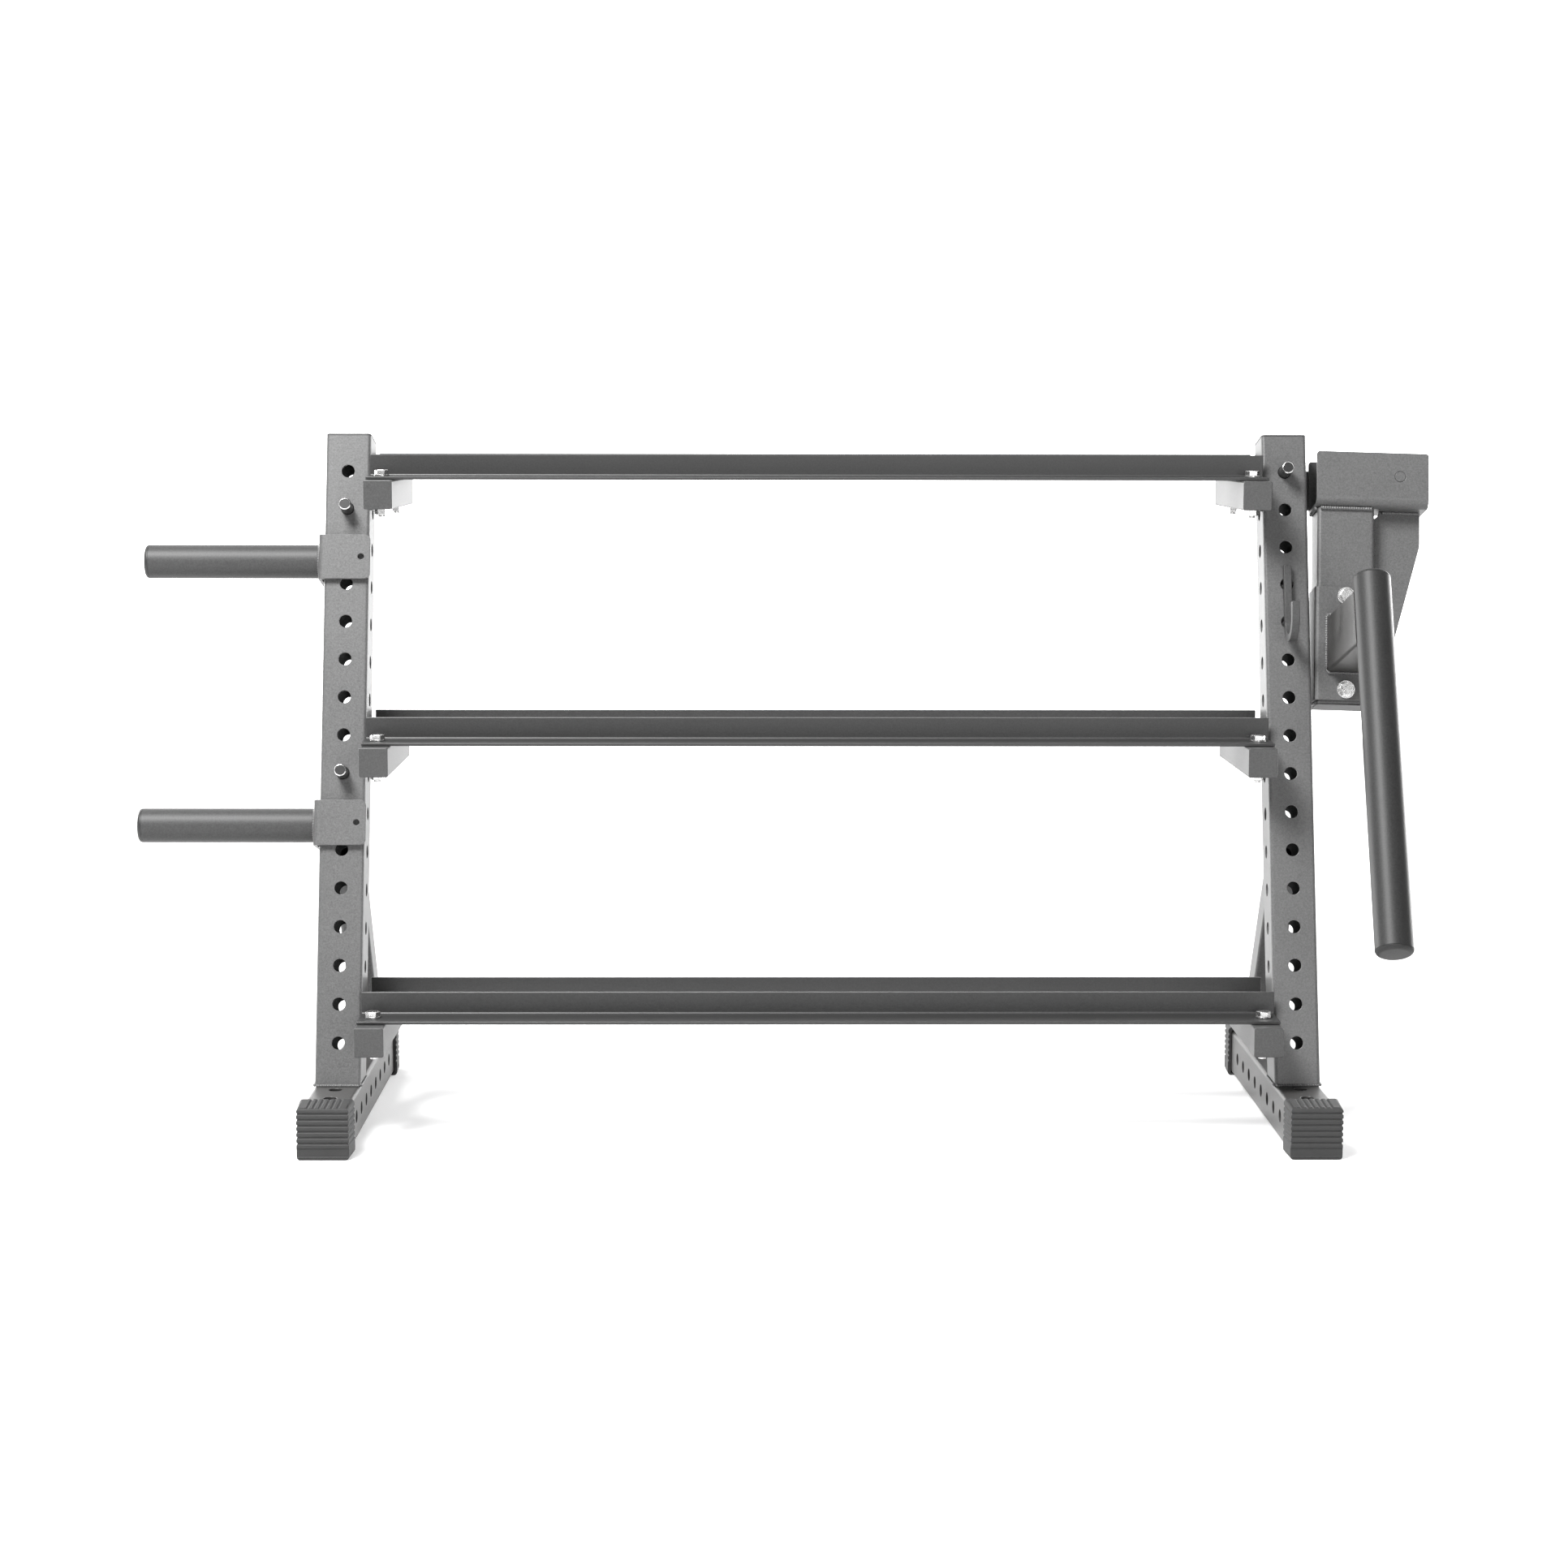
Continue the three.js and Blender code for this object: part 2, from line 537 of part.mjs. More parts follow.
function addAttachment() {
  const pinX = HALF - TUBE / 2;
  const place = leaning.clone()
    .multiply(new THREE.Matrix4().makeTranslation(pinX, 0, holeHeight(ATTACH_HOLE)))
    .multiply(new THREE.Matrix4().makeRotationY(DROOP));
  const put = (name, body, material) => add(name, body, material, place);

  // Channel, open at the top
  const c = {
    x0: TUBE / 2 + CHANNEL.apart,
    x1: TUBE / 2 + CHANNEL.apart + CHANNEL.length,
    z0: -CHANNEL.drop,
    z1: CHANNEL.rise,
    wall: CHANNEL.wall,
    bend: CHANNEL.bend,
  };
  const y0 = -GAP - c.wall;
  const y1 = TUBE + GAP + c.wall;
  const b = c.bend;
  const outline = [
    [y0, c.z1], [y0, c.z0 + b], [y0 + b * 0.3, c.z0 + b * 0.3], [y0 + b, c.z0],
    [y1 - b, c.z0], [y1 - b * 0.3, c.z0 + b * 0.3], [y1, c.z0 + b], [y1, c.z1],
    [y1 - c.wall, c.z1], [y1 - c.wall, c.z0 + b], [y1 - b, c.z0 + c.wall],
    [y0 + b, c.z0 + c.wall], [y0 + c.wall, c.z0 + b], [y0 + c.wall, c.z1],
  ];
  const cross = { x: c.x1 - CROSS_PIN.fromEnd, z: c.z1 - CROSS_PIN.fromTop, r: CROSS_PIN.r };
  const channel = profile(outline, c.x0, c.x1)
    .subtract(drill([cross.x, y0 - 1, cross.z], [cross.x, y1 + 1, cross.z], cross.r + GAP, 12));
  put('attachment_channel', channel, powder);
  put('attachment_cross_pin', rod([cross.x, y0 - 0.6, cross.z], [cross.x, y1 + 0.6, cross.z], cross.r, 16), powder);

  // Plate behind the upright, with the pin that goes through it
  const p = {
    x0: BACK_PLATE.edge - TUBE / 2,
    x1: c.x0 + BACK_PLATE.lap,
    z0: -BACK_PLATE.drop,
    z1: BACK_PLATE.rise,
    thick: BACK_PLATE.thick,
  };
  const k = 8;
  const plateY = y1 + GAP;
  const plate = slab([
    [p.x0 + k, p.z0], [p.x1, p.z0], [p.x1, p.z1], [p.x0 + k, p.z1], [p.x0, p.z1 - k], [p.x0, p.z0 + k],
  ], plateY, plateY + p.thick)
    .subtract(drill([0, plateY - 1, 0], [0, plateY + 9, 0], PIN_R + GAP, 12));
  put('attachment_back_plate', plate, powder);
  const back = plateY + p.thick + GAP;
  put('attachment_pin', Manifold.union([
    rod([0, -PIN_STICKOUT + 2, 0], [0, back + 1, 0], PIN_R, 12),
    rod([0, -PIN_STICKOUT, 0], [0, 0, 0], PIN_R - 2, 12),
    rod([0, back, 0], [0, back + PIN_HEAD, 0], PIN_HEAD_R, 12),
  ]), dark);

  // Post under the channel, with its lower cap and its gusset
  const post = {
    x0: c.x0 + CLAMP.thick + GAP,
    width: POST.width,
    wall: POST.wall,
    bottom: c.z0 - POST.length,
    cap: POST.cap,
  };
  const postX1 = post.x0 + post.width;
  const postY0 = POST.inset / 2;
  const postY1 = TUBE - POST.inset / 2;
  const clamp = {
    thick: CLAMP.thick,
    z0: post.bottom + CLAMP.rise,
    z1: post.bottom + CLAMP.rise + CLAMP.height,
    wrap: TUBE - POST.inset - CLAMP.wrapShort,
  };
  const clampBolts = [
    { name: 'upper', z: clamp.z1 - CLAMP_BOLT_EDGE },
    { name: 'lower', z: clamp.z0 + CLAMP_BOLT_RISE },
  ];
  const postTop = c.z0 - GAP;
  const postEnd = post.bottom + post.cap + GAP;
  const middle = post.x0 + post.width / 2;
  const w = post.wall;
  const postCuts = [block(post.x0 + w, postX1 - w, postY0 + w, postY1 - w, postEnd - 1, postTop + 1)];
  for (const bolt of clampBolts) {
    postCuts.push(drill([middle, postY0 - 1, bolt.z], [middle, postY1 + 1, bolt.z], BOLT_R + SHANK_CLEARANCE));
  }
  put('attachment_post', block(post.x0, postX1, postY0, postY1, postEnd, postTop)
    .subtract(Manifold.union(postCuts)), powder);
  const inset = w + GAP;
  put('attachment_post_cap', block(post.x0, postX1, postY0, postY1, post.bottom, post.bottom + post.cap)
    .add(block(post.x0 + inset, postX1 - inset, postY0 + inset, postY1 - inset,
      post.bottom + 1, postEnd + SPIGOT)), plastic);
  const g = {
    x1: c.x1 - GUSSET.fromEnd,
    knee: c.z0 - GUSSET.knee,
    foot: postX1 + GUSSET.toe,
    end: post.bottom + GUSSET.rise,
    notch: GUSSET.notch,
    thick: GUSSET.thick,
  };
  const gx = postX1 + GAP;
  const gy = TUBE / 2 - g.thick / 2;
  put('attachment_gusset', slab([
    [gx + g.notch, postTop], [g.x1, postTop], [g.x1, g.knee], [g.foot, g.end],
    [gx, g.end], [gx, postTop - g.notch],
  ], gy, gy + g.thick), powder);

  // Bolted clamp plate that wraps the post's inner side
  const cl = clamp;
  const clampY1 = postY0 - GAP;
  const clampY0 = clampY1 - cl.thick;
  const clampX0 = post.x0 - GAP - cl.thick;
  const clampCuts = clampBolts.map((bolt) => drill(
    [middle, clampY0 - 1, bolt.z], [middle, clampY1 + 1, bolt.z], BOLT_R + SHANK_CLEARANCE,
  ));
  put('attachment_clamp', block(clampX0, postX1, clampY0, clampY1, cl.z0, cl.z1)
    .add(block(clampX0, clampX0 + cl.thick, clampY0, clampY0 + cl.wrap, cl.z0, cl.z1))
    .subtract(Manifold.union(clampCuts)), powder);
  const hexR = HEX_FLATS / 2 / Math.cos(Math.PI / 6);
  for (const bolt of clampBolts) {
    const front = clampY0 - GAP;
    const nut = postY1 + GAP;
    put(`attachment_bolt_${bolt.name}`, Manifold.union([
      rod([middle, front - WASHER_THICK, bolt.z], [middle, front, bolt.z], CLAMP_WASHER_R, 16),
      rod([middle, front - WASHER_THICK - HEAD_HEIGHT, bolt.z], [middle, front - 1, bolt.z], hexR, 6),
      rod([middle, front - 0.5, bolt.z], [middle, nut + NUT_HEIGHT + 2, bolt.z], BOLT_R, 8),
      rod([middle, nut, bolt.z], [middle, nut + NUT_HEIGHT, bolt.z], hexR, 6),
    ]), zinc);
  }

  // Strut and roller bar
  const barTop = { y: clampY0 - BAR_TOP.reach, z: clamp.z1 - BAR_TOP.fromClamp };
  const barBottom = { y: barTop.y - BAR_SPREAD, z: barTop.z - BAR_DROP };
  const bar = (radius, from, to, sides) => {
    const top = new THREE.Vector3(middle, barTop.y, barTop.z);
    const bottom = new THREE.Vector3(middle, barBottom.y, barBottom.z);
    const along = bottom.clone().sub(top);
    const length = along.length();
    along.normalize();
    const a = top.clone().addScaledVector(along, from);
    const z = top.clone().addScaledVector(along, length + to);
    return rod(a.toArray(), z.toArray(), radius, sides);
  };
  const st = { ...STRUT, z0: clamp.z0 + STRUT.rise };
  const strutX = [middle - st.width / 2, middle + st.width / 2];
  const farY = barBottom.y;
  const strutZ1 = st.z0 + st.height;
  const barReachAt = (z) => (barTop.z - z) * (BAR_SPREAD / BAR_DROP) - barTop.y;
  const ahead = [
    [-barReachAt(st.z0 - 40), st.z0 - 40], [farY - 60, st.z0 - 40],
    [farY - 60, strutZ1 + 40], [-barReachAt(strutZ1 + 40), strutZ1 + 40],
  ];
  const strutCuts = [
    block(strutX[0] + st.wall, strutX[1] - st.wall, farY, clampY0 + 1, st.z0 + st.wall, strutZ1 - st.wall),
    bar(BAR_R + GAP, -20, 20, 24),
    solidSkin([
      ahead.map(([y, z]) => [strutX[0] - 5, y, z]),
      ahead.map(([y, z]) => [strutX[1] + 5, y, z]),
    ]),
  ];
  put('attachment_strut', block(strutX[0], strutX[1], farY, clampY0 - GAP, st.z0, strutZ1)
    .subtract(Manifold.union(strutCuts)), powder);
  put('roller_bar', bar(BAR_R, BAR_CAP + GAP, -BAR_CAP - GAP, 24)
    .subtract(bar(BAR_R - BAR_WALL, 0, 0, 24)), dark);
  const barCap = (from, to, plugFrom, plugTo) => bar(BAR_R, from, to, 24)
    .add(bar(BAR_R - BAR_WALL - GAP, plugFrom, plugTo, 24));
  const length = Math.hypot(BAR_SPREAD, BAR_DROP);
  put('roller_bar_cap_top', barCap(0, BAR_CAP - length, 1, BAR_CAP + SPIGOT - length), plastic);
  put('roller_bar_cap_bottom', barCap(length - BAR_CAP, 0, length - BAR_CAP - SPIGOT, -1), plastic);
}

function addHook() {
  const x = HALF - TUBE / 2;
  const y = -HOOK_BAR / 2 - GAP;
  const top = holeHeight(HOOK_HOLES[0]) + HOOK_TOP_RISE;
  const bend = holeHeight(HOOK_HOLES[1]) + 1;
  const path = [[y, top], [y, bend]];
  const steps = 10;
  for (let i = 1; i < steps; i += 1) {
    const t = (Math.PI * i) / steps;
    path.push([y - HOOK_BEND_R * (1 - Math.cos(t)), bend - HOOK_BEND_R * Math.sin(t)]);
  }
  path.push([y - 2 * HOOK_BEND_R, bend], [y - 2 * HOOK_BEND_R, bend + HOOK_TIP_RISE]);
  const prongs = HOOK_HOLES.map((hole) => {
    const s = holeHeight(hole);
    return rod([x, y, s], [x, HOOK_PRONG_LENGTH, s], HOLE_R - PRONG_CLEARANCE, 12);
  });
  const hook = Manifold.union([bentBar(x, path, HOOK_BAR), ...prongs]);
  add('accessory_hook', hook, dark, leaning);
}

for (const [side, sideName] of [[-1, 'left'], [1, 'right']]) {
  addUpright(side, sideName);
  addFoot(side, sideName);
  addBrace(side, sideName);
}
TIERS.forEach(addShelf);
PEG_PINS.forEach(addPeg);
addAttachment();
addHook();

// The origin is on the floor, under the middle of the whole outline.
const bounds = new THREE.Box3().setFromObject(rack);
const centre = bounds.getCenter(new THREE.Vector3());
for (const part of rack.children) {
  part.geometry.translate(-centre.x, -centre.y, -bounds.min.z);
}

export default rack;
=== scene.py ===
"""A tiered dumbbell rack in powder-coated steel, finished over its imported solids."""
import math

import bmesh
import bpy
from mathutils import Matrix, Vector


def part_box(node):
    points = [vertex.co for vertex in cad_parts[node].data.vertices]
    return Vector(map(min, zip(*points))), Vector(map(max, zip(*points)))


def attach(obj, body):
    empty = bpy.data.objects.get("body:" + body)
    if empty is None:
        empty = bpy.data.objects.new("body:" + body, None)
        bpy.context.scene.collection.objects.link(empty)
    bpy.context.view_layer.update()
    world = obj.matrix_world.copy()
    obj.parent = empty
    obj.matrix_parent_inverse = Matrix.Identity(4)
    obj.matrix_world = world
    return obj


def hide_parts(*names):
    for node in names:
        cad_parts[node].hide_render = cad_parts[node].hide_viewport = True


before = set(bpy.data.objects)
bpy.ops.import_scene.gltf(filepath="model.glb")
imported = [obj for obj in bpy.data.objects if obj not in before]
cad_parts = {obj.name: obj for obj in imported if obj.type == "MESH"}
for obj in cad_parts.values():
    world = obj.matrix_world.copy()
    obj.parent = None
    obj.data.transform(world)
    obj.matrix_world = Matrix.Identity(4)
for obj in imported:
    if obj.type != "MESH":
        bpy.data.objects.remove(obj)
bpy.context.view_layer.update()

# Sizes that several pieces share, in millimetres
MM = 0.001
SIDES = ((-1, "left"), (1, "right"))
LEAN = math.radians(14)
DROOP = math.radians(1.7)
GAP = 0.3            # between neighbouring pieces
TUBE = 60.0          # square tube of uprights and feet
WALL = 3.0
CORNER, INNER_CORNER = 5, 2.5
HALF = 656.0         # centre line to an upright's outer face
FOOT_TOP = 63.5
UPRIGHT = 870.0
HOLE_COUNT = 16
TOP_HOLE_DROP = 51.7
PITCH = 50.8
HOLE = 8.5           # radius
PIN_HOLE = 8.3
BOLT_HOLE = 5.3
CREASE = math.radians(38)

# Where the rack's own centre line stands in the frame
left_box = [Vector(corner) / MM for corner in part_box("upright_left")]
right_box = [Vector(corner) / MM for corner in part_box("upright_right")]
cap_box = [Vector(corner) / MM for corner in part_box("foot_cap_front_left")]
FOOT_FRONT = -145.6
FOOT_REAR = 412.4
HOME = Matrix.Translation((
    (left_box[0].x + right_box[1].x) / 2, cap_box[0].y - FOOT_FRONT, 0))
LEANING = HOME @ Matrix.Translation((0, 0, FOOT_TOP)) @ Matrix.Rotation(-LEAN, 4, "X")


def hole_height(index):
    return UPRIGHT - TOP_HOLE_DROP - (HOLE_COUNT - 1 - index) * PITCH


ATTACHED = (LEANING @ Matrix.Translation((HALF - TUBE / 2, 0, hole_height(HOLE_COUNT - 1)))
            @ Matrix.Rotation(DROOP, 4, "Y"))


# Node trees --------------------------------------------------------------

class Signal:
    """A node's output that takes part in ordinary arithmetic."""

    def __init__(self, net, socket):
        self.net = net
        self.socket = socket

    def _math(self, operation, *terms):
        return self.net.node(
            "ShaderNodeMath", {"operation": operation}, dict(enumerate(terms)))

    def __add__(self, other):
        return self._math("ADD", self, other)

    def __radd__(self, other):
        return self._math("ADD", other, self)

    def __sub__(self, other):
        return self._math("SUBTRACT", self, other)

    def __rsub__(self, other):
        return self._math("SUBTRACT", other, self)

    def __mul__(self, other):
        return self._math("MULTIPLY", self, other)

    def __truediv__(self, other):
        return self._math("DIVIDE", self, other)

    def call(self, operation, *terms):
        return self._math(operation, self, *terms)


class Net:
    """A node tree with one way to add any node."""

    def __init__(self, tree):
        self.tree = tree

    def feed(self, socket, value):
        if isinstance(value, Signal):
            self.tree.links.new(value.socket, socket)
        elif isinstance(value, list):
            for signal in value:
                self.tree.links.new(signal.socket, socket)
        else:
            socket.default_value = value

    def node(self, kind, settings=None, sockets=None, out=0):
        node = self.tree.nodes.new(kind)
        for key, value in (settings or {}).items():
            setattr(node, key, value)
        for key, value in (sockets or {}).items():
            self.feed(node.inputs[key], value)
        return Signal(self, node.outputs[out]) if node.outputs else node


def start_tree(name, inputs):
    tree = bpy.data.node_groups.new(name, "GeometryNodeTree")
    face = tree.interface
    face.new_socket("Geometry", in_out="INPUT", socket_type="NodeSocketGeometry")
    for label, kind, default in inputs:
        socket = face.new_socket(label, in_out="INPUT", socket_type="NodeSocket" + kind)
        if default is not None:
            socket.default_value = default
    face.new_socket("Finish", in_out="INPUT", socket_type="NodeSocketMaterial")
    face.new_socket("Geometry", in_out="OUTPUT", socket_type="NodeSocketGeometry")
    net = Net(tree)
    group = tree.nodes.new("NodeGroupInput")
    return net, {socket.name: Signal(net, socket) for socket in group.outputs if socket.name}


def end_tree(net, geometry, finish):
    whole = net.node("GeometryNodeRealizeInstances", sockets={0: geometry})
    dressed = net.node("GeometryNodeSetMaterial", sockets={"Geometry": whole, "Material": finish})
    net.feed(net.tree.nodes.new("NodeGroupOutput").inputs[0], dressed)
    return net.tree


def evaluated(obj):
    graph = bpy.context.evaluated_depsgraph_get()
    mesh = bpy.data.meshes.new_from_object(obj.evaluated_get(graph), depsgraph=graph)
    bpy.data.objects.remove(obj)
    return mesh


def in_scene(mesh, name="work"):
    obj = bpy.data.objects.new(name, mesh)
    bpy.context.scene.collection.objects.link(obj)
    return obj


def grow(tree, mesh, **values):
    """Run a tree once over a mesh and keep the result as a plain mesh."""
    obj = in_scene(mesh)
    modifier = obj.modifiers.new(tree.name, "NODES")
    modifier.node_group = tree
    for item in tree.interface.items_tree:
        key = item.name.replace(" ", "_").lower()
        if item.in_out == "INPUT" and key in values:
            modifier[item.identifier] = values[key]
    return evaluated(obj)


def hole_row_tree():
    """Bores a row of round holes through whatever it is given."""
    net, sent = start_tree("hole_row", [
        ("Count", "Int", 1), ("First", "Vector", None), ("Step", "Vector", None),
        ("Turn", "Vector", None), ("Radius", "Float", HOLE), ("Length", "Float", 80.0),
        ("Sides", "Int", 40)])
    row = net.node("GeometryNodeMeshLine", {"mode": "OFFSET"}, {
        "Count": sent["Count"], "Start Location": sent["First"], "Offset": sent["Step"]})
    bit = net.node("GeometryNodeMeshCylinder", sockets={
        "Vertices": sent["Sides"], "Radius": sent["Radius"], "Depth": sent["Length"]})
    turn = net.node("FunctionNodeEulerToRotation", sockets={0: sent["Turn"]})
    bits = net.node("GeometryNodeInstanceOnPoints", sockets={
        "Points": row, "Instance": bit, "Rotation": turn})
    bits = net.node("GeometryNodeRealizeInstances", sockets={0: bits})
    bored = net.node("GeometryNodeMeshBoolean", {"operation": "DIFFERENCE", "solver": "MANIFOLD"}, {
        "Mesh 1": sent["Geometry"], "Mesh 2": [bits]})
    return end_tree(net, bored, sent["Finish"])


def weld_tree():
    """Lays a rippled bead along the edges it is given."""
    net, sent = start_tree("weld_bead", [
        ("Radius", "Float", 2.6), ("Ripple", "Float", 0.12), ("Ripple Pitch", "Float", 3.2),
        ("Unevenness", "Float", 0.22), ("Seed", "Float", 3.0)])
    path = net.node("GeometryNodeMeshToCurve", sockets={"Mesh": sent["Geometry"]})
    path = net.node("GeometryNodeResampleCurve", {"mode": "LENGTH"}, {
        "Curve": path, "Length": sent["Ripple Pitch"] / 5})
    run = net.node("GeometryNodeSplineParameter", out="Length")
    share = net.node("GeometryNodeSplineParameter", out="Factor")
    wave = (run * (2 * math.pi) / sent["Ripple Pitch"]).call("SINE") * sent["Ripple"]
    place = net.node("GeometryNodeInputPosition")
    lumps = net.node("ShaderNodeTexNoise", {"noise_dimensions": "4D"}, {
        "Vector": place, "W": sent["Seed"], "Scale": 0.11, "Detail": 1.0})
    ends = (share * (1 - share) * 60).call("MINIMUM", 1).call("POWER", 0.5)
    width = (1 + wave + (lumps - 0.5) * 2 * sent["Unevenness"]) * ends.call("MAXIMUM", 0.25)
    ring = net.node("GeometryNodeCurvePrimitiveCircle", sockets={
        "Resolution": 10, "Radius": sent["Radius"]})
    bead = net.node("GeometryNodeCurveToMesh", sockets={
        "Curve": path, "Profile Curve": ring, "Scale": width, "Fill Caps": True})
    bead = net.node("GeometryNodeSetShadeSmooth", sockets={"Geometry": bead})
    return end_tree(net, bead, sent["Finish"])


def bent_bar_tree():
    """Square bar along a polyline, with its corners bent to a radius."""
    net, sent = start_tree("bent_bar", [
        ("Bar Size", "Float", 10.0), ("Bend Radius", "Float", 20.0), ("Bend Steps", "Int", 16)])
    path = net.node("GeometryNodeMeshToCurve", sockets={"Mesh": sent["Geometry"]})
    path = net.node("GeometryNodeFilletCurve", {"mode": "POLY"}, {
        "Curve": path, "Count": sent["Bend Steps"], "Radius": sent["Bend Radius"],
        "Limit Radius": True})
    square = net.node("GeometryNodeCurvePrimitiveQuadrilateral", sockets={
        "Width": sent["Bar Size"], "Height": sent["Bar Size"]})
    bar = net.node("GeometryNodeCurveToMesh", sockets={
        "Curve": path, "Profile Curve": square, "Scale": 1.0, "Fill Caps": True})
    return end_tree(net, bar, sent["Finish"])


def fastener_tree():
    """Hex bolt, washer, nut and threaded tail at every point it is given."""
    net, sent = start_tree("hex_fasteners", [
        ("Flats", "Float", 17.0), ("Head Height", "Float", 6.4), ("Washer Radius", "Float", 10.0),
        ("Washer Thickness", "Float", 2.0), ("Shank", "Float", 5.0), ("Grip", "Float", 42.7),
        ("Nut Height", "Float", 8.0), ("Tail", "Float", 3.0), ("Turn", "Vector", None)])

    def lifted(geometry, height):
        spot = net.node("ShaderNodeCombineXYZ", sockets={2: height})
        return net.node("GeometryNodeTransform", sockets={
            "Geometry": geometry, "Translation": spot})

    def hexagon(height):
        return net.node("GeometryNodeMeshCylinder", sockets={
            "Vertices": 6, "Radius": sent["Flats"] / math.sqrt(3), "Depth": height})

    def crown(height, up):
        narrow = sent["Flats"] * 0.475
        wide = narrow + height * 1.73
        return net.node("GeometryNodeMeshCone", sockets={
            "Vertices": 48, "Radius Top": narrow if up else wide,
            "Radius Bottom": wide if up else narrow, "Depth": height})

    def chamfered(height, both):
        body = hexagon(height)
        for up in ([True, False] if both else [True]):
            cone = lifted(crown(height, up), height * -0.5)
            body = net.node("GeometryNodeMeshBoolean", {
                "operation": "INTERSECT", "solver": "MANIFOLD"}, {"Mesh 2": [body, cone]})
        return body

    def cylinder(radius, height, sides=40):
        return net.node("GeometryNodeMeshCylinder", sockets={
            "Vertices": sides, "Radius": radius, "Depth": height})

    head_height = sent["Head Height"]
    nut_height = sent["Nut Height"]
    washer = sent["Washer Thickness"]
    reach = sent["Grip"] + nut_height + sent["Tail"]
    thread = net.node("GeometryNodeMeshLine", {"mode": "OFFSET"}, {
        "Count": 4, "Offset": (0.0, 0.0, 1.5)})
    ridge = cylinder(sent["Shank"] + 0.35, 0.7, 28)
    ridges = net.node("GeometryNodeInstanceOnPoints", sockets={"Points": thread, "Instance": ridge})
    parts = [
        lifted(chamfered(head_height, False), washer + head_height / 2),
        lifted(cylinder(sent["Washer Radius"], washer), washer / 2),
        lifted(cylinder(sent["Shank"], reach, 28), reach * -0.5),
        lifted(chamfered(nut_height, True), 0 - sent["Grip"] - nut_height / 2),
        lifted(ridges, 0.8 - reach),
    ]
    one = net.node("GeometryNodeJoinGeometry", sockets={0: parts})
    turn = net.node("FunctionNodeEulerToRotation", sockets={0: sent["Turn"]})
    many = net.node("GeometryNodeInstanceOnPoints", sockets={
        "Points": sent["Geometry"], "Instance": one, "Rotation": turn})
    return end_tree(net, many, sent["Finish"])


HOLE_ROW = hole_row_tree()
WELD = weld_tree()
BENT_BAR = bent_bar_tree()
FASTENERS = fastener_tree()


# Finishes ----------------------------------------------------------------

def new_finish(name):
    material = bpy.data.materials.new(name)
    material.use_nodes = True
    material.node_tree.nodes.clear()
    return material, Net(material.node_tree)


def noise(net, scale, detail=2.0, rough=0.5, stretch=None):
    place = net.node("ShaderNodeTexCoord", out="Object")
    if stretch:
        place = net.node("ShaderNodeMapping", sockets={"Vector": place, "Scale": stretch})
    return net.node("ShaderNodeTexNoise", sockets={
        "Vector": place, "Scale": scale, "Detail": detail, "Roughness": rough})


def blend(net, share, first, second):
    return net.node("ShaderNodeMix", {"data_type": "RGBA"}, {
        0: share, 6: first, 7: second}, out=2)


def surface(material, net, colour, rough, normal=None, **fixed):
    sockets = {"Base Color": colour, "Roughness": rough}
    if normal is not None:
        sockets["Normal"] = normal
    sockets.update({key.replace("_", " "): value for key, value in fixed.items()})
    shader = net.node("ShaderNodeBsdfPrincipled", sockets=sockets)
    net.node("ShaderNodeOutputMaterial", sockets={"Surface": shader})
    return material


def shade(value, warm=0.0):
    return (value * (1 + warm), value, value * (1 - warm), 1.0)


def powder_coat(name, value, rough, grain=0.5, warm=0.0, shine=0.55):
    """Baked powder paint: a pebbled skin with fine light and dark specks."""
    material, net = new_finish(name)
    specks = noise(net, 430, 4.0, 0.75)
    drift = noise(net, 7, 2.0)
    lift = ((specks - 0.5) * 2.6 + (drift - 0.5) * 0.5 + 0.5).call("MINIMUM", 1).call("MAXIMUM", 0)
    colour = blend(net, lift, shade(value * 0.74, warm), shade(value * 1.3, warm))
    pebble = noise(net, 480, 2.0, 0.5)
    normal = net.node("ShaderNodeBump", sockets={
        "Strength": grain, "Distance": 0.0004, "Height": pebble})
    return surface(material, net, colour, (specks - 0.5) * 0.18 + rough, normal,
                   Specular_IOR_Level=shine)


def moulded_rubber(name, value):
    material, net = new_finish(name)
    bloom = noise(net, 60, 4.0, 0.6)
    fine = noise(net, 900, 2.0)
    colour = blend(net, bloom, shade(value * 0.82), shade(value * 1.2))
    normal = net.node("ShaderNodeBump", sockets={
        "Strength": 0.35, "Distance": 0.0003, "Height": fine})
    return surface(material, net, colour, (bloom - 0.5) * 0.2 + 0.68, normal,
                   Specular_IOR_Level=0.4)


def moulded_plug(name, value):
    material, net = new_finish(name)
    fine = noise(net, 700, 2.0)
    colour = blend(net, fine, shade(value * 0.85), shade(value * 1.15))
    normal = net.node("ShaderNodeBump", sockets={
        "Strength": 0.2, "Distance": 0.0002, "Height": fine})
    return surface(material, net, colour, (fine - 0.5) * 0.12 + 0.5, normal)


def zinc_plate(name):
    """Bright plating with cloudy spangles and fine turning marks."""
    material, net = new_finish(name)
    cloud = noise(net, 260, 3.0, 0.6)
    marks = noise(net, 900, 1.0, 0.5, stretch=(1, 1, 6))
    colour = blend(net, cloud, shade(0.62, 0.01), shade(0.9))
    normal = net.node("ShaderNodeBump", sockets={
        "Strength": 0.25, "Distance": 0.0002, "Height": marks})
    return surface(material, net, colour, cloud * 0.25 + 0.14, normal, Metallic=1.0)


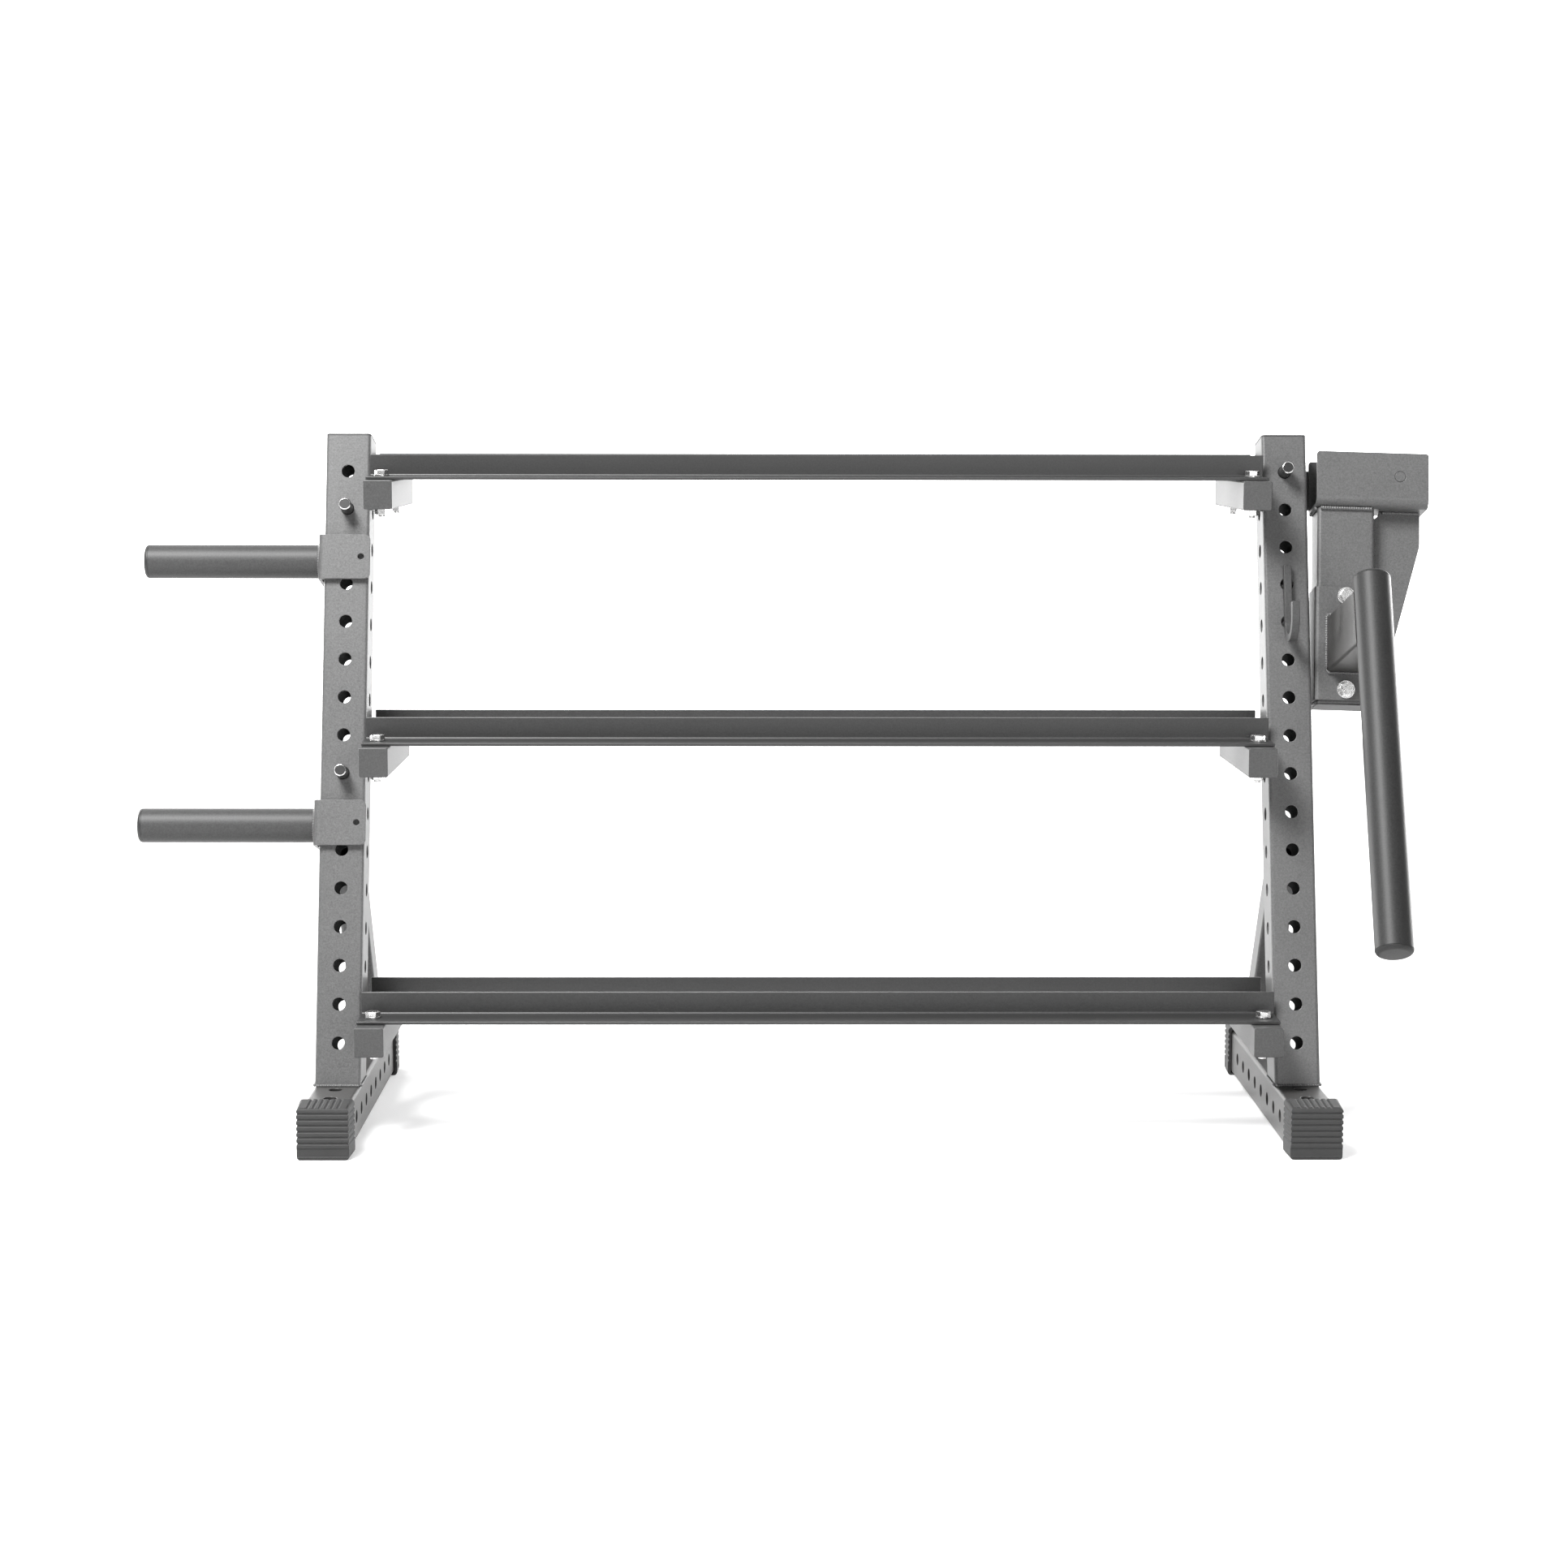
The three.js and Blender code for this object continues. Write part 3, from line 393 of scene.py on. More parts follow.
POWDER = powder_coat("powder_coat", 0.082, 0.40, grain=0.3)
# Darker powder for the arms and the hook: the darkening is painted shade of the loads that rest on
# the shelves
SHELF_COAT_PAINTED_SHADE = powder_coat("shelf_powder_coat", 0.041, 0.42, grain=0.3)
# Darkest frame powder, on the feet and the strut: its darkness is painted shade from the loads
# above the feet and from the rack beside the strut
FOOT_COAT_PAINTED_SHADE = powder_coat("foot_powder_coat", 0.03, 0.42, grain=0.3, warm=0.03)
DARK = powder_coat("dark_powder_coat", 0.022, 0.44, grain=0.25)
BAR_SKIN = powder_coat("bar_powder_coat", 0.02, 0.5, grain=0.3, shine=0.3)
PEG_SKIN = powder_coat("peg_powder_coat", 0.042, 0.5, grain=0.3, shine=0.3)
# Near-black: the real black-oxide finish of the lock pins, and painted shade on the clamp's left
# flange
BLACK_OXIDE_AND_PAINTED_SHADE = powder_coat("blacked_steel", 0.012, 0.42, grain=0.1)
RUBBER = moulded_rubber("cap_rubber", 0.028)
PLUG = moulded_plug("moulded_plug", 0.02)
ZINC = zinc_plate("zinc_plate")


# Shapes, in millimetres ---------------------------------------------------

def to_mesh(bm, name="work"):
    bmesh.ops.recalc_face_normals(bm, faces=bm.faces)
    mesh = bpy.data.meshes.new(name)
    bm.to_mesh(mesh)
    bm.free()
    return mesh


def loft(rings, poles=False):
    """Closed skin over rings of points; poles means the end rings are single points."""
    bm = bmesh.new()
    rows = [[bm.verts.new(point) for point in ring] for ring in rings]
    for row, following in zip(rows, rows[1:]):
        count = max(len(row), len(following))
        for i in range(count):
            j = (i + 1) % count
            corners = [row[i % len(row)], row[j % len(row)],
                       following[j % len(following)], following[i % len(following)]]
            bm.faces.new(list(dict.fromkeys(corners)))
    if not poles:
        bm.faces.new(rows[0])
        bm.faces.new(rows[-1])
    return to_mesh(bm)


def arc(cu, cv, radius, start, sweep, steps=6):
    """Points along part of a circle; start and sweep are in degrees."""
    angles = [math.radians(start + sweep * k / steps) for k in range(steps + 1)]
    return [(cu + radius * math.cos(angle), cv + radius * math.sin(angle)) for angle in angles]


def rounded(u0, u1, v0, v1, radius):
    """Outline of a rectangle with round corners, as (u, v) points."""
    return (arc(u1 - radius, v0 + radius, radius, -90, 90)
            + arc(u1 - radius, v1 - radius, radius, 0, 90)
            + arc(u0 + radius, v1 - radius, radius, 90, 90)
            + arc(u0 + radius, v0 + radius, radius, 180, 90))


def extruded(outline, start, end, axis="Z"):
    """An outline pushed from start to end along an axis."""
    def spot(u, v, t):
        return {"X": (t, u, v), "Y": (u, t, v), "Z": (u, v, t)}[axis]
    return loft([[spot(u, v, t) for u, v in outline] for t in (start, end)])


def block(x0, x1, y0, y1, z0, z1):
    return extruded([(x0, y0), (x1, y0), (x1, y1), (x0, y1)], z0, z1)


def turned(profile, steps=56):
    """Profile of (radius, height) points turned round Z; it starts and ends at radius 0."""
    rings = []
    for radius, height in profile:
        if radius == 0:
            rings.append([(0, 0, height)])
        else:
            rings.append([(radius * math.cos(2 * math.pi * k / steps),
                           radius * math.sin(2 * math.pi * k / steps), height)
                          for k in range(steps)])
    return loft(rings, poles=True)


def moved(mesh, matrix):
    mesh.transform(matrix)
    return mesh


ALONG_X = Matrix.Rotation(math.radians(90), 4, "Y")
ALONG_Y = Matrix.Rotation(math.radians(-90), 4, "X")


def at(x, y, z, turn=None):
    return Matrix.Translation((x, y, z)) @ (turn or Matrix())


def carve(mesh, *tools, how="DIFFERENCE"):
    obj = in_scene(mesh)
    helpers = [in_scene(tool, "tool") for tool in tools]
    for helper in helpers:
        modifier = obj.modifiers.new("carve", "BOOLEAN")
        modifier.operation = how
        modifier.solver = "MANIFOLD"
        modifier.object = helper
    result = evaluated(obj)
    for helper in helpers:
        bpy.data.objects.remove(helper)
    return result


def bore(mesh, first, step=(0, 0, 0), count=1, turn="Z", radius=HOLE, length=80.0, sides=40):
    spin = {"X": (0, math.pi / 2, 0), "Y": (math.pi / 2, 0, 0), "Z": (0, 0, 0)}[turn]
    return grow(HOLE_ROW, mesh, count=count, first=first, step=step, turn=spin,
                radius=radius, length=length, sides=sides, finish=POWDER)


def points_mesh(points, edges=()):
    mesh = bpy.data.meshes.new("points")
    mesh.from_pydata([tuple(map(float, point)) for point in points], list(edges), [])
    return mesh


def path_mesh(*paths):
    points, edges = [], []
    for path in paths:
        start = len(points)
        points += path
        edges += [(start + i, start + i + 1) for i in range(len(path) - 1)]
    return points_mesh(points, edges)


def piece(name, mesh, body, nodes=(), place=HOME, finish=POWDER,
          bevel=0.0, smooth=True, segments=2):
    if finish is not None:
        mesh.materials.clear()
        mesh.materials.append(finish)
    if smooth:
        mesh.shade_smooth()
        mesh.set_sharp_from_angle(angle=CREASE)
    obj = in_scene(mesh, name)
    if bevel:
        edge = obj.modifiers.new("edge", "BEVEL")
        edge.width = bevel
        edge.segments = segments
        edge.limit_method = "ANGLE"
        edge.angle_limit = CREASE
        edge.use_clamp_overlap = False
        edge.harden_normals = False
    if smooth:
        even = obj.modifiers.new("even", "WEIGHTED_NORMAL")
        even.keep_sharp = True
    done = evaluated(obj)
    done.transform(Matrix(
        [[place[r][c] * (MM if c == 3 else 1) for c in range(4)] for r in range(4)]
    ) @ Matrix.Scale(MM, 4))
    done.name = name
    result = in_scene(done, name)
    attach(result, body)
    if nodes:
        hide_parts(*nodes)
    return result


def weld(name, paths, body, place=HOME, radius=2.6, seed=1.0, finish=POWDER):
    bead = grow(WELD, path_mesh(*paths), radius=radius, seed=seed, finish=finish)
    return piece(name, bead, body, place=place, finish=None, smooth=False)


# Uprights, feet and braces ------------------------------------------------

def upright(side, side_name):
    x0 = -HALF if side < 0 else HALF - TUBE
    middle = x0 + TUBE / 2
    top = UPRIGHT - 2.5
    tube = extruded(rounded(x0, x0 + TUBE, 0, TUBE, CORNER), -40, top)
    inside = extruded(rounded(x0 + WALL, x0 + TUBE - WALL, WALL, TUBE - WALL, INNER_CORNER),
                      -60, top + 5)
    below = moved(block(x0 - 40, x0 + 100, -200, 200, -200, GAP), Matrix.Rotation(LEAN, 4, "X"))
    tube = carve(tube, inside, below)
    first = hole_height(0)
    tube = bore(tube, (middle, TUBE / 2, first), (0, 0, PITCH), HOLE_COUNT, "Y")
    tube = bore(tube, (middle, TUBE / 2, first), (0, 0, PITCH), HOLE_COUNT, "X")
    piece(f"upright_tube_{side_name}", tube, "frame", [f"upright_{side_name}"], LEANING,
          bevel=0.5)
    lid = extruded(rounded(x0, x0 + TUBE, 0, TUBE, CORNER), top + GAP, UPRIGHT)
    spigot = rounded(x0 + 3.3, x0 + 56.7, 3.3, 56.7, 2.3)
    lid = carve(lid, extruded(spigot, top - 11.7, top + 1), how="UNION")
    piece(f"upright_top_{side_name}", lid, "frame", [f"upright_lid_{side_name}"], LEANING,
          finish=POWDER, bevel=0.6)


CAP_END = 4.0
GROOVES = 6
FIRST_GROOVE = 21.3
GROOVE_STEP = 7.6
GROOVE_HALF = 1.9
GROOVE_SPOTS = (-1.9, -1.3, -0.65, 0, 0.65, 1.3, 1.9)


def foot(side, side_name):
    x0 = -HALF if side < 0 else HALF - TUBE
    middle = x0 + TUBE / 2
    y0, y1 = FOOT_FRONT + CAP_END + GAP, FOOT_REAR - CAP_END - GAP
    tube = extruded(rounded(x0, x0 + TUBE, FOOT_TOP - TUBE, FOOT_TOP, CORNER), y0, y1, "Y")
    inside = rounded(x0 + WALL, x0 + TUBE - WALL, FOOT_TOP - TUBE + WALL, FOOT_TOP - WALL,
                     INNER_CORNER)
    tube = carve(tube, extruded(inside, y0 - 5, y1 + 5, "Y"))
    tube = bore(tube, (middle, -42.7, 33.5), (0, PITCH, 0), 8, "X")
    tube = bore(tube, (middle, -70.8, FOOT_TOP), (0, PITCH, 0), 2, "Z", length=16)
    tube = bore(tube, (middle, 81.6, FOOT_TOP), (0, PITCH, 0), 5, "Z", length=16)
    # The foot tube's dark coat is painted shade of the loads overhead
    piece(f"foot_tube_{side_name}", tube, "frame", [f"foot_{side_name}"],
          finish=FOOT_COAT_PAINTED_SHADE, bevel=0.5)


def hollow(distance):
    """How deep a round groove is at a distance from its middle, from 0 to 1."""
    return max(0.0, 1 - (distance / GROOVE_HALF) ** 2) ** 0.5


def scalloped(width, height, depth=1.25):
    """Outline of a ribbed cap: grooves up both sides and over the top."""
    def groove(distance):
        return -depth * hollow(distance) if abs(distance) < GROOVE_HALF else 0.0

    def dents(start, end, centres):
        spots = [start]
        for centre in sorted(centres, reverse=end < start):
            for k in GROOVE_SPOTS:
                spots.append(centre + (k if end > start else -k))
        spots.append(end)
        return spots
    half = width / 2
    radius = 5.0
    rows = [FIRST_GROOVE + GROOVE_STEP * k for k in range(GROOVES)]
    rows = [z for z in rows if z < height - radius - 2]
    columns = [GROOVE_STEP * (k - (GROOVES - 1) / 2) for k in range(GROOVES)]

    def corner(cx, cz, start):
        return arc(cx, cz, radius, start, 90, 5)
    outline = corner(half - radius, radius, -90)
    for z in dents(radius + 0.1, height - radius - 0.1, rows)[1:-1]:
        outline.append((half + groove(min((z - c for c in rows), key=abs)), z))
    outline += corner(half - radius, height - radius, 0)
    for x in dents(half - radius - 0.1, -half + radius + 0.1, columns)[1:-1]:
        outline.append((x, height + groove(min((x - c for c in columns), key=abs))))
    outline += corner(-half + radius, height - radius, 90)
    for z in dents(height - radius - 0.1, radius + 0.1, rows)[1:-1]:
        outline.append((-half - groove(min((z - c for c in rows), key=abs)), z))
    outline += corner(-half + radius, radius, 180)
    return outline


def foot_cap(x, face, inward, name, node):
    rings = [[(px, 0, pz) for px, pz in scalloped(66, 66.8)],
             [(px, 46, pz) for px, pz in scalloped(70, 69)]]
    body = loft(rings)
    # The end face: grooves across it, a rounded top edge and a plain sunk panel below
    outline = [(3.0, -5.0), (1.2, 0.0), (0.4, 1.5), (0.4, 3.5), (1.4, 4.5), (1.4, 14.5), (0.2, 16)]
    for k in range(GROOVES):
        z = FIRST_GROOVE + GROOVE_STEP * k
        for dz in GROOVE_SPOTS:
            outline.append((0.2 + 1.3 * hollow(dz), z + dz))
    outline += [(0.6, 64.4), (1.6, 65.8), (3.4, 66.8), (3.4, 80), (60, 80), (60, -5)]
    # Groove points that would run into the rounded top edge are left out
    keep = [p for i, p in enumerate(outline) if i < 7 or p[1] <= 62.6 or p[1] >= 64.4]
    body = carve(body, extruded(keep, -60, 60, "X"), how="INTERSECT")
    body = carve(body, block(-30.3, 30.3, 4, 60, 3.2, 63.8))
    turn = Matrix() if inward > 0 else Matrix.Rotation(math.pi, 4, "Z")
    moved(body, at(x, face, 0, turn))
    piece(name, body, "frame", [node], finish=RUBBER, bevel=0.35)


def brace(side, side_name):
    x = side * (HALF - TUBE / 2)
    tilt = at(x, 334.5, FOOT_TOP, Matrix.Rotation(math.radians(33.5), 4, "X"))
    bar = moved(extruded(rounded(-19, 19, -19, 19, 3.5), -150, 550), tilt)
    inside = moved(extruded(rounded(-16.5, 16.5, -16.5, 16.5, 1.5), -160, 560), tilt)
    below = block(x - 60, x + 60, 200, 600, -200, FOOT_TOP + GAP)
    ahead = moved(block(x - 60, x + 60, -500, TUBE + GAP, -300, 1200),
                  Matrix.Translation((0, 0, FOOT_TOP)) @ Matrix.Rotation(-LEAN, 4, "X"))
    piece(f"brace_tube_{side_name}", carve(bar, inside, below, ahead), "frame",
          [f"brace_{side_name}"], bevel=0.4)


def frame_welds(side, side_name):
    x = side * (HALF - TUBE / 2)
    z = FOOT_TOP + 1.0
    rear = TUBE / math.cos(LEAN)
    ahead = [(x - 28, -0.8, z), (x + 28, -0.8, z)]
    back = [(x - 28, rear + 1.2, z), (x + 28, rear + 1.2, z)]
    sides = [[(x + k * 30.2, 3, z), (x + k * 30.2, rear - 3, z)] for k in (-1, 1)]
    bar = [[(x - 17, 310.2, z), (x + 17, 310.2, z)], [(x - 17, 358.6, z), (x + 17, 358.6, z)]]
    bar += [[(x + k * 20, 314, z), (x + k * 20, 355, z)] for k in (-1, 1)]
    weld(f"foot_welds_{side_name}", [ahead, back] + sides + bar, "frame", radius=2.0,
         seed=2.0 + side)
    low, high = 296.6, 350.1
    y = TUBE + 1.0
    upper = [[(x - 17, y, low), (x + 17, y, low)]]
    if side > 0:
        # The left brace stops just under the lower peg's rear plate: no room for a bead
        upper.insert(0, [(x - 17, y, high), (x + 17, y, high)])
    upper += [[(x + k * 20, y, low + 3), (x + k * 20, y, high - 3)] for k in (-1, 1)]
    weld(f"brace_welds_{side_name}", upper, "frame", place=LEANING, radius=2.3, seed=5.0 + side)


for side, side_name in SIDES:
    upright(side, side_name)
    foot(side, side_name)
    brace(side, side_name)
    frame_welds(side, side_name)
    centre = side * (HALF - TUBE / 2)
    foot_cap(centre, FOOT_FRONT, 1, f"cap_front_{side_name}", f"foot_cap_front_{side_name}")
    foot_cap(centre, FOOT_REAR, -1, f"cap_rear_{side_name}", f"foot_cap_rear_{side_name}")


# Shelves ------------------------------------------------------------------

TIERS = {"bottom": 133.7, "middle": 484.8, "top": 828.2}
ARM = 38.1
ARM_LENGTH = 255.0
ARM_AHEAD = 81.7     # arm's front end ahead of the upright's face
BOLT_FRONT = 50.5
BOLT_REAR = 216.5
RAIL_FLANGE = 58
RAIL_LEG = 32.5
RAIL_THICK = 4
RAIL_SETBACK = 23.5
RAILS_APART = 108


def arm_front(height):
    return (height - FOOT_TOP) * math.tan(LEAN) - ARM_AHEAD


def shelf_arm(tier, height, side, side_name):
    outer = side * (HALF - TUBE - GAP)
    inner = side * (HALF - TUBE - ARM)
    x0, x1 = sorted((outer, inner))
    y0 = arm_front(height)
    z0, z1 = height - ARM / 2, height + ARM / 2
    arm = extruded(rounded(x0, x1, z0, z1, 2.6), y0, y0 + ARM_LENGTH, "Y")
    arm = carve(arm, block(x0 + WALL, x1 - WALL, y0 + WALL, y0 + ARM_LENGTH - WALL,
                           z0 + WALL, z1 - WALL))
    middle = side * (HALF - TUBE - ARM / 2)
    arm = bore(arm, (middle, y0 + BOLT_FRONT, height), (0, BOLT_REAR - BOLT_FRONT, 0), 2, "Z",
               radius=BOLT_HOLE, sides=24)
    # The arms take the darker shelf coat, whose darkness is painted shade of the shelf loads
    piece(f"arm_{tier}_{side_name}", arm, "frame", [f"shelf_arm_{tier}_{side_name}"],
          finish=SHELF_COAT_PAINTED_SHADE, bevel=0.9, segments=3)


def angle_rail(tier, height, line, facing):
    z0 = height + ARM / 2 + GAP
    y0 = arm_front(height) + RAIL_SETBACK
    edge = y0 if facing > 0 else y0 + 2 * RAIL_FLANGE - RAIL_THICK + RAILS_APART

    def spot(y, z):
        return (edge + facing * y, z0 + z)
    inside = RAIL_FLANGE - RAIL_THICK
    section = [(0, 0)] + arc(RAIL_FLANGE - 5.5, 5.5, 5.5, -90, 90)
    section += [(RAIL_FLANGE, RAIL_LEG), (inside, RAIL_LEG)]
    section += arc(inside - 3, RAIL_THICK + 3, 3, 0, -90) + [(0, RAIL_THICK)]
    outline = [spot(y, z) for y, z in section]
    reach = HALF - TUBE - 2 * GAP
    rail = extruded(outline, -reach, reach, "X")
    y = arm_front(height) + (BOLT_FRONT if facing > 0 else BOLT_REAR)
    middle = HALF - TUBE - ARM / 2
    rail = bore(rail, (-middle, y, z0 + RAIL_THICK / 2), (2 * middle, 0, 0), 2, "Z",
                radius=BOLT_HOLE, length=20, sides=24)
    piece(f"rail_{tier}_{line}", rail, "frame", [f"shelf_rail_{tier}_{line}"], finish=DARK,
          bevel=0.7)


bolt_points = []
bolt_nodes = []
for tier, height in TIERS.items():
    welds = []
    for side, side_name in SIDES:
        shelf_arm(tier, height, side, side_name)
        for line, y in (("front", BOLT_FRONT), ("rear", BOLT_REAR)):
            bolt_points.append((side * (HALF - TUBE - ARM / 2), arm_front(height) + y,
                                height + ARM / 2 + RAIL_THICK + 2 * GAP))
            bolt_nodes.append(f"shelf_bolt_{tier}_{line}_{side_name}")
        face = side * (HALF - TUBE)
        near = arm_front(height) + ARM_AHEAD
        for edge, lean in ((ARM / 2 + 1, 19), (-ARM / 2 - 1, -19)):
            shift = lean * math.tan(LEAN)
            welds.append([(face - side * 1.2, near + shift + 3, height + edge),
                          (face - side * 1.2, near + shift + 58, height + edge)])
    weld(f"arm_welds_{tier}", [w for w in welds if w[0][2] < height], "frame", seed=height / 100)
    angle_rail(tier, height, "front", 1)
    angle_rail(tier, height, "rear", -1)
bolts = grow(FASTENERS, points_mesh(bolt_points), grip=ARM + RAIL_THICK + 3 * GAP,
             finish=ZINC)
piece("shelf_bolts", bolts, "frame", bolt_nodes, finish=ZINC, bevel=0.25, segments=1)


# Plate pegs ---------------------------------------------------------------

PLATE = 5
PEG_DROP = 66.5      # peg's centre line below its pin
PEG_REACH = 234.5
PEG_RADIUS = 22.5
BRACKET_HALF = 30


def steel_pin(length_back, name, node, body, place):
    """Locking pin: chamfered nose in front, collar behind the plate."""
    profile = [(0, -30), (6.9, -30), (8, -28.8), (8, length_back), (11, length_back),
               (11, length_back + 6), (10, length_back + 7), (0, length_back + 7)]
    pin = moved(turned(profile), ALONG_Y)
    pin.materials.append(BLACK_OXIDE_AND_PAINTED_SHADE)
    pin.materials.append(ZINC)
    for face in pin.polygons:
        if face.center.y < -28.7 and abs(face.normal.y) < 0.95:
            face.material_index = 1
    piece(name, moved(pin, place[1]), body, [node], place[0], finish=None,
          bevel=0.2, segments=1)


def plate_peg(level, hole):
    body = f"peg_{level}"
    pin_height = hole_height(hole)
    s = pin_height - PEG_DROP
    pin_x = -HALF + TUBE / 2
    web = -HALF - 2.5
    out = web - PLATE
    low, high = s - BRACKET_HALF, s + BRACKET_HALF
    front, rear = -2.3, 62.3
    end = -HALF + 62

    def bent(inset, radius, reach_front, reach_rear):
        """U outline in plan, opening to the right."""
        x, y0, y1 = out + inset, front - PLATE + inset, rear + PLATE - inset
        return ([(reach_front, y0)] + arc(x + radius, y0 + radius, radius, -90, -90)
                + arc(x + radius, y1 - radius, radius, 180, -90) + [(reach_rear, y1)])
    shell = bent(0, 7.5, end, pin_x + 22) + bent(PLATE, 2.5, end, pin_x + 22)[::-1]
    bracket = extruded(shell, low, high)
    trim = extruded(rounded(out - 20, end, low, high, 8), front - 20, rear + 20, "Y")
    square = block(out - 5, out + 25, front - 20, rear + 20, low, high)
    bracket = carve(bracket, carve(trim, square, how="UNION"), how="INTERSECT")
    bracket = carve(bracket, block(web, end + 5, rear - 2, rear + 20, low - 5, pin_height - 61))
    tab = extruded(rounded(pin_x - 22, pin_x + 22, high - 20, pin_height + 21, 11),
                   rear, rear + PLATE, "Y")
    bracket = carve(bracket, tab, how="UNION")
    bracket = bore(bracket, (end - 12.5, front - 2.5, s), turn="Y", radius=4, length=12)
    bracket = bore(bracket, (pin_x, rear + 2.5, pin_height), turn="Y", radius=PIN_HOLE,
                   length=12)
    piece(f"peg_bracket_plate_{level}", bracket, body, [f"peg_bracket_{level}"], LEANING,
          bevel=0.6)
    lining = bent(5.2, 2.3, end - 2, pin_x + 18) + bent(7.0, 0.6, end - 2, pin_x + 18)[::-1]
    lining = extruded(lining, low + 2, high - 2)
    lining = carve(lining, block(web - 1, end + 5, rear - 4, rear + 20, low - 5, pin_height - 60))
    lining = bore(lining, (end - 12.5, front - 2.5, s), turn="Y", radius=5, length=12)
    piece(f"peg_liner_{level}", lining, body, place=LEANING, finish=PLUG)
    steel_pin(67.9, f"peg_lock_pin_{level}", f"peg_pin_{level}", body,
              (LEANING, at(pin_x, 0, pin_height)))
    tip = out - PEG_REACH
    length = out - GAP - (tip + 5.3)
    tube = turned([(0, 0), (PEG_RADIUS, 0), (PEG_RADIUS, length), (0, length)], 72)
    tube = carve(tube, turned([(0, -5), (20, -5), (20, length + 5), (0, length + 5)], 48))
    moved(tube, at(tip + 5.3, TUBE / 2, s, ALONG_X))
    piece(f"peg_sleeve_{level}", tube, body, [f"peg_tube_{level}"], LEANING, finish=PEG_SKIN,
          bevel=0.3)
    profile = [(0, 0), (17.5, 0), (19.4, 0.4), (21.0, 1.4), (22.0, 2.8), (22.4, 4.2), (22.4, 5),
               (19.7, 5.0), (19.7, 17), (0, 17)]
    plug = moved(turned(profile, 72), at(tip, TUBE / 2, s, ALONG_X))
    piece(f"peg_plug_{level}", plug, body, [f"peg_end_{level}"], LEANING, finish=PLUG)
    ring = [(out - 1.0, TUBE / 2 + 23.4 * math.cos(a), s + 23.4 * math.sin(a))
            for a in (2 * math.pi * k / 48 for k in range(49))]
    weld(f"peg_weld_{level}", [ring], body, place=LEANING, radius=2.0, seed=4.0 + hole)


plate_peg("upper", 14)
plate_peg("lower", 7)


# Roller-bar attachment ----------------------------------------------------

BODY = "side_attachment"
CHANNEL_START, CHANNEL_END = 43.0, 193.0
CHANNEL_WALL = 4.7
RIVET = (154.7, 30, -2.2)
POST_LEFT, POST_MIDDLE, POST_RIGHT = 46.3, 84.3, 122.3
POST_TOP, POST_BOTTOM = -44.3, -309.7
LOW_BOLT, BOLT_STEP = -291.5, 126


def channel():
    x0, x1, z0, z1 = CHANNEL_START, CHANNEL_END, -44, 30
    y0, y1 = -5, 65

    def bend(inset, radius):
        low = z0 + inset + radius
        return ([(y0 + inset, z1)] + arc(y0 + inset + radius, low, radius, 180, 90, 7)
                + arc(y1 - inset - radius, low, radius, 270, 90, 7) + [(y1 - inset, z1)])
    body = extruded(bend(0, 14) + bend(CHANNEL_WALL, 14 - CHANNEL_WALL)[::-1], x0, x1, "X")
    trim = extruded(rounded(x0, x1, z0 - 20, z1, 4), y0 - 10, y1 + 10, "Y")
    body = carve(body, trim, how="INTERSECT")
    body = bore(body, RIVET, turn="Y", radius=7.3, length=100)
    piece("channel_plate", body, BODY, ["attachment_channel"], ATTACHED, bevel=0.6)
    pin = turned([(0, -35.6), (6.2, -35.6), (7, -34.8), (7, 34.8), (6.2, 35.6), (0, 35.6)], 48)
    piece("channel_rivet", moved(pin, at(*RIVET, ALONG_Y)), BODY,
          ["attachment_cross_pin"], ATTACHED)
    plate = extruded(rounded(-24, 100, -36, 18, 6), 65.3, 70.3, "Y")
    plate = bore(plate, (0, 67, 0), turn="Y", radius=PIN_HOLE, length=12)
    piece("back_plate", plate, BODY, ["attachment_back_plate"], ATTACHED, bevel=0.6)
    steel_pin(70.6, "attachment_lock_pin", "attachment_pin", BODY, (ATTACHED, Matrix()))


def post():
    x0, x1, top, bottom = POST_LEFT, POST_RIGHT, POST_TOP, POST_BOTTOM
    tube = extruded(rounded(x0, x1, 5, 55, CORNER), bottom, top)
    inside = rounded(x0 + WALL, x1 - WALL, 5 + WALL, 55 - WALL, INNER_CORNER)
    tube = carve(tube, extruded(inside, bottom - 5, top + 5))
    tube = bore(tube, (POST_MIDDLE, 30, LOW_BOLT), (0, 0, BOLT_STEP), 2, "Y",
                radius=BOLT_HOLE, sides=24)
    piece("post_tube", tube, BODY, ["attachment_post"], ATTACHED, bevel=0.5)
    cap = extruded(rounded(x0, x1, 5, 55, CORNER), -312, -310)
    cap = carve(cap, extruded(rounded(x0 + 3.3, x1 - 3.3, 8.3, 51.7, 2.3), -311, -298), how="UNION")
    piece("post_foot_plug", cap, BODY, ["attachment_post_cap"], ATTACHED, finish=PLUG,
          bevel=0.4)
    gx = x1 + GAP
    outline = [(gx + 10, top), (187, top), (187, -87), (186.8, -90), (186, -94), (130, -309),
               (gx, -309), (gx, top - 10), (gx + 4, top - 9.2), (gx + 7.5, top - 6.5),
               (gx + 9.5, top - 3.5)]
    piece("gusset_plate", extruded(outline, 26, 34, "Y"), BODY, ["attachment_gusset"], ATTACHED,
          bevel=0.6)
    weld("post_welds", [
        [(x0 + 3, 3.6, top - 1.4), (x1 - 3, 3.6, top - 1.4)],
        [(x0 - 1.4, 8, top - 1.6), (x0 - 1.4, 52, top - 1.6)],
        [(x0 + 3, 56.4, top - 1.4), (x1 - 3, 56.4, top - 1.4)],
        [(gx + 13, 24.8, top - 1.2), (185, 24.8, top - 1.2)],
        [(gx + 13, 35.2, top - 1.2), (185, 35.2, top - 1.2)],
        [(gx + 1, 24.8, top - 16), (gx + 1, 24.8, -300)],
        [(gx + 1, 35.2, top - 16), (gx + 1, 35.2, -300)],
    ], BODY, place=ATTACHED, radius=2.5, seed=9.0)


